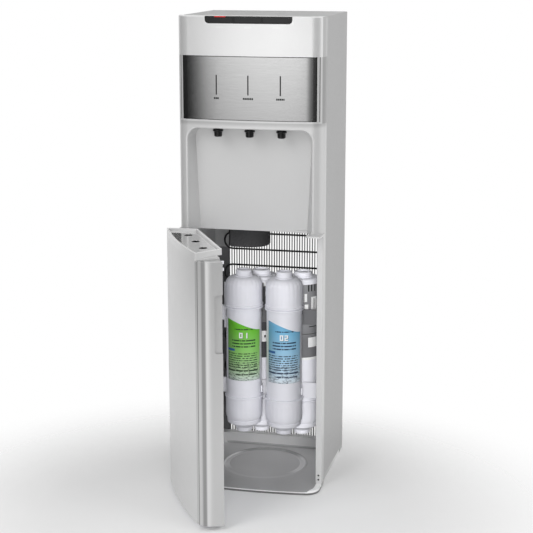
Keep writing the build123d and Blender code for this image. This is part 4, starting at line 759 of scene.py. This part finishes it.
def housing_profile(row):
    """(radius, height, depth of the flutes) from the lower port's centre to the upper port's."""
    top = CARTRIDGE_LENGTH[row]
    shoulder = top - PORT_HEIGHT[row]
    port, dome = PORT_RADIUS[row], DOME_RADIUS[row]
    cap, flute = (CAP_RADIUS, FLUTE_DEPTH) if row == "front" else (BODY_RADIUS, 0)
    plain = [(0, 0), (NECK_RADIUS - 1.5, 0), (NECK_RADIUS, 1.5), (NECK_RADIUS, 9), (NECK_RADIUS + 3, 11)]
    dish = [(BODY_RADIUS - 5, 19.5), (BODY_RADIUS - 1.5, 22), (BODY_RADIUS - 0.6, 29.5), (BODY_RADIUS - 1.6, 31)]
    lower = [(CAP_RADIUS - 3, 31.8), (CAP_RADIUS - 0.7, 36), (CAP_RADIUS, 44), (CAP_RADIUS, 50), (CAP_RADIUS, 70)]
    points = [(r, z, 0) for r, z in plain + dish]
    points += [(r, z, CAP_FLUTE_DEPTH) for r, z in lower]
    points += [(r, z, 0) for r, z in bead(LOWER_RIM, CAP_RADIUS, BODY_RADIUS)]
    if row == "front":
        points += [(BODY_RADIUS, UPPER_RIM - 8, 0)]
        points += [(r, z, 0) for r, z in bead(UPPER_RIM - 6, BODY_RADIUS, BODY_RADIUS + 1)]
        points += [(r, z, 0) for r, z in bead(UPPER_RIM, BODY_RADIUS + 1, cap)]
    points += [(cap, shoulder - dome - 2, flute / 3), (cap, shoulder - dome - 1, flute)]
    curve = arc_points((cap - dome, shoulder - dome), dome, 0, 84, 12)
    points += [(r, z, flute if i < 8 else 0) for i, (r, z) in enumerate(curve)]
    ends = [(port + 3, shoulder), (port + 3, shoulder + 1.5), (port, shoulder + 3), (port, top - 1.5),
            (port - 1.5, top), (port - 5, top), (port - 6, top - 3), (0, top - 3)]
    return points + [(r, z, 0) for r, z in ends]


def housing(name, node, row, axis_x, axis_y, material):
    """A moulded housing turned about its axis, with flutes pressed into its caps."""
    profile = housing_profile(row)
    points, faces = [], []
    for radius, height, flute in profile[1:-1]:
        for i in range(TURN_STEPS):
            turn = 2 * math.pi * i / TURN_STEPS
            r = radius - (flute if i % FLUTE_STEPS < FLUTE_STEPS / 3 else 0)
            points.append((axis_x + r * math.sin(turn), axis_y - r * math.cos(turn), CARTRIDGE_FOOT[row] + height))
    for ring in range(len(profile) - 3):
        for i in range(TURN_STEPS):
            a, b = ring * TURN_STEPS + i, ring * TURN_STEPS + (i + 1) % TURN_STEPS
            faces.append((a, b, b + TURN_STEPS, a + TURN_STEPS))
    for ring, height, flip in ((0, profile[0][1], True), (len(profile) - 3, profile[-1][1], False)):
        points.append((axis_x, axis_y, CARTRIDGE_FOOT[row] + height))
        for i in range(TURN_STEPS):
            a, b = ring * TURN_STEPS + i, ring * TURN_STEPS + (i + 1) % TURN_STEPS
            faces.append((b, a, len(points) - 1) if flip else (a, b, len(points) - 1))
    stand_for(link_mesh(name, points, faces, material), node)


def film(name, node, axis_x, axis_y, material):
    """A printed film round the housing's front, with its wave-cut upper edge."""
    columns, rows = FILM_GRID
    radius = BODY_RADIUS + FILM_STANDOFF
    points, faces = [], []
    for i in range(columns + 1):
        share = i / columns
        turn = math.radians(FILM_TURN[0] + (FILM_TURN[1] - FILM_TURN[0]) * share)
        drop = FILM_WAVE * (share * share * (3 - 2 * share) * 0.75 + share * 0.25)
        for j in range(rows + 1):
            z = CARTRIDGE_FOOT["front"] + FILM_FOOT + (FILM_HEIGHT - drop) * j / rows
            points.append((axis_x + radius * math.sin(turn), axis_y - radius * math.cos(turn), z))
    for i in range(columns):
        for j in range(rows):
            a = i * (rows + 1) + j
            faces.append((a, a + rows + 1, a + rows + 2, a + 1))
    piece = link_mesh(name, points, faces, material)
    skin = piece.modifiers.new("film", "SOLIDIFY")
    skin.thickness = FILM_THICKNESS * MM
    skin.offset = -1
    stand_for(piece, node)


housing_white = moulded("housing_white", WHITE_PLASTIC, 0.38).material
for number, axis_x in enumerate(FRONT_FILTER_X, 1):
    housing(f"cartridge_front_{number}", f"filter_front_{number}", "front", axis_x, FRONT_FILTER_Y, housing_white)
    film(f"film_front_{number}", f"label_front_{number}", axis_x, FRONT_FILTER_Y, front_label(number, axis_x).material)
for number, axis_x in enumerate(REAR_FILTER_X, 1):
    housing(f"cartridge_rear_{number}", f"filter_rear_{number}", "rear", axis_x, REAR_FILTER_Y, housing_white)


# Studio: floor, cards for the metal to reflect, lamps, world and camera

FLOOR_COLOUR = grey(0.955)
FLOOR_CENTRE = (0.0, -0.3)
FLOOR_FADE = (0.32, 0.86)
FLOOR_HALF = 4.0
FLOOR_DROP = 0.0005

# Brightness of the surroundings that the metal reflects at each azimuth, where 1 is white.
# Azimuth 0 is straight ahead of the front and 90 to its right, in degrees.
CARD_RADIUS = 1.7  # metres, as the height
CARD_HEIGHT = 2.4
CARD_LIMIT = 125
CARD_TONES = [(-122, 1.0), (-108, 0.03), (-44, 0.02), (-36, 0.03), (-32, 0.06), (-30, 0.25), (-28, 0.46),
              (-26, 0.63), (-23.5, 0.75), (-21, 0.82), (-16.5, 0.9), (-12, 0.945), (-8, 0.985), (-2, 1.0),
              (3, 0.985), (6, 0.93), (8.5, 0.66), (12, 0.3), (16, 0.12), (30, 0.05), (66, 0.05), (90, 1.0),
              (122, 1.0)]
BACK_CARD = (-172, -154)
BACK_CARD_HEIGHTS = (0.95, 1.42)
BACK_CARD_RADIUS = 2.5
CARD_STEPS = 48
TONE_POWER = 1 / 2.2

REAR_ROW = ("cartridge_rear_1", "cartridge_rear_2", "filter_bracket", "labels_rear")

# Each soft box: name, place, target and size in metres, power in watts, and the pieces that it lights alone, if any
LAMPS = [
    ("key_lamp", (-1.2, -2.4, 2.4), (0, -0.1, 0.6), (1.6, 1.6), 33, ()),
    ("side_lamp", (1.7, -0.9, 2.1), (0.1, -0.05, 0.8), (1.0, 1.0), 8, ()),
    ("low_lamp", (0.62, -2.4, 0.7), (0.02, -0.05, 0.1), (0.9, 0.9), 20, ()),
    ("rear_row_lamp", (0.72, -3.0, 1.0), (0.04, 0.07, 0.25), (0.5, 0.5), 45, REAR_ROW),
]
WORLD_LIGHT = 0.48


def floor():
    """A pale floor that fades into the white surroundings away from the object."""
    mesh = bpy.data.meshes.new("studio_floor")
    corners = [(-1, -1), (1, -1), (1, 1), (-1, 1)]
    mesh.from_pydata([(x * FLOOR_HALF, y * FLOOR_HALF, -FLOOR_DROP) for x, y in corners], [], [(0, 1, 2, 3)])
    plane = bpy.data.objects.new("studio_floor", mesh)
    bpy.context.scene.collection.objects.link(plane)
    surface = Finish("floor_paper", FLOOR_COLOUR, 0.85)
    surface.vary(surface.noise(6, 3), 0.99, 1.005)
    offset = surface.add("VectorMath", {0: surface.place}, {1: (*FLOOR_CENTRE, 0)}, operation="SUBTRACT")
    distance = surface.add("VectorMath", {0: offset.outputs[0]}, operation="LENGTH").outputs["Value"]
    fade = surface.remap(distance, 0, 1, *FLOOR_FADE, "SMOOTHSTEP")
    clear = surface.add("BsdfTransparent").outputs[0]
    mix = surface.add("MixShader", {"Fac": fade, 1: surface.shader.outputs[0], 2: clear})
    surface.links.new(mix.outputs[0], surface.nodes["Material Output"].inputs["Surface"])
    mesh.materials.append(surface.material)


def card(name, azimuths, heights, radius, tones):
    """A curved card that only reflections see, from dark to as white as the surroundings at each azimuth."""
    mesh = bpy.data.meshes.new(name)
    points = []
    for i in range(CARD_STEPS + 1):
        turn = math.radians(azimuths[0] + (azimuths[1] - azimuths[0]) * i / CARD_STEPS)
        for z in heights:
            points.append((radius * math.sin(turn), -radius * math.cos(turn), z))
    mesh.from_pydata(points, [], [(2 * i, 2 * i + 2, 2 * i + 3, 2 * i + 1) for i in range(CARD_STEPS)])
    thing = bpy.data.objects.new(name, mesh)
    bpy.context.scene.collection.objects.link(thing)
    felt = Finish(name + "_felt", grey(0.03), 0.9)
    felt.vary(felt.noise(20, 3), 0.9, 1.1)
    turn = felt.math("ARCTAN2", felt.axis(0), felt.math("MULTIPLY", felt.axis(1), -1))
    azimuth = felt.math("MULTIPLY", turn, 180 / math.pi)
    if tones:
        stops = [((place + CARD_LIMIT) / (2 * CARD_LIMIT), grey(share ** TONE_POWER)) for place, share in tones]
        glow = felt.add("Emission", {"Color": felt.ramp(azimuth, -CARD_LIMIT, CARD_LIMIT, stops)})
        felt.links.new(glow.outputs[0], felt.nodes["Material Output"].inputs["Surface"])
    mesh.materials.append(felt.material)
    thing.visible_camera = False
    thing.visible_shadow = False
    thing.visible_diffuse = False


def look_at(thing, target):
    """Turns a lamp towards a point."""
    thing.rotation_euler = (Vector(target) - thing.location).to_track_quat("-Z", "Y").to_euler()


def lamp(name, place, target, size, power, pieces):
    """A rectangular soft box. Given pieces, it lights only those."""
    data = bpy.data.lights.new(name, "AREA")
    data.shape = "RECTANGLE"
    data.size, data.size_y = size
    data.energy = power
    box = bpy.data.objects.new(name, data)
    box.location = place
    box.visible_glossy = False
    bpy.context.scene.collection.objects.link(box)
    look_at(box, target)
    if pieces:
        lit = bpy.data.collections.new(f"{name}_pieces")
        for piece in pieces:
            lit.objects.link(bpy.data.objects[piece])
        box.light_linking.receiver_collection = lit


def studio_world():
    """White for camera, glossy and transmission rays, and a soft grey light for the rest."""
    world = bpy.data.worlds.new("studio_world")
    bpy.context.scene.world = world
    world.use_nodes = True
    nodes, links = world.node_tree.nodes, world.node_tree.links
    light = nodes["Background"]
    light.inputs["Color"].default_value = (1, 1, 1, 1)
    light.inputs["Strength"].default_value = WORLD_LIGHT
    white = nodes.new("ShaderNodeBackground")
    white.inputs["Color"].default_value = (1, 1, 1, 1)
    path = nodes.new("ShaderNodeLightPath")
    seen = path.outputs["Is Camera Ray"]
    for name in ("Is Glossy Ray", "Is Transmission Ray"):
        either = nodes.new("ShaderNodeMath")
        either.operation = "MAXIMUM"
        links.new(seen, either.inputs[0])
        links.new(path.outputs[name], either.inputs[1])
        seen = either.outputs[0]
    mix = nodes.new("ShaderNodeMixShader")
    links.new(seen, mix.inputs["Fac"])
    links.new(light.outputs[0], mix.inputs[1])
    links.new(white.outputs[0], mix.inputs[2])
    links.new(mix.outputs[0], nodes["World Output"].inputs["Surface"])


def camera():
    """The view of the photograph."""
    data = bpy.data.cameras.new("photo_camera")
    data.lens = CAMERA_LENS
    data.sensor_width = CAMERA_SENSOR
    eye = bpy.data.objects.new("photo_camera", data)
    eye.location = CAMERA_PLACE
    eye.rotation_euler = (math.radians(90 - CAMERA_PITCH), 0, math.radians(CAMERA_YAW))
    bpy.context.scene.collection.objects.link(eye)
    bpy.context.scene.camera = eye


floor()
card("front_card", (-CARD_LIMIT, CARD_LIMIT), (0.0, CARD_HEIGHT), CARD_RADIUS, CARD_TONES)
card("back_card", BACK_CARD, BACK_CARD_HEIGHTS, BACK_CARD_RADIUS, [])
for soft_box in LAMPS:
    lamp(*soft_box)
studio_world()
camera()
bpy.context.scene.view_settings.view_transform = "Standard"
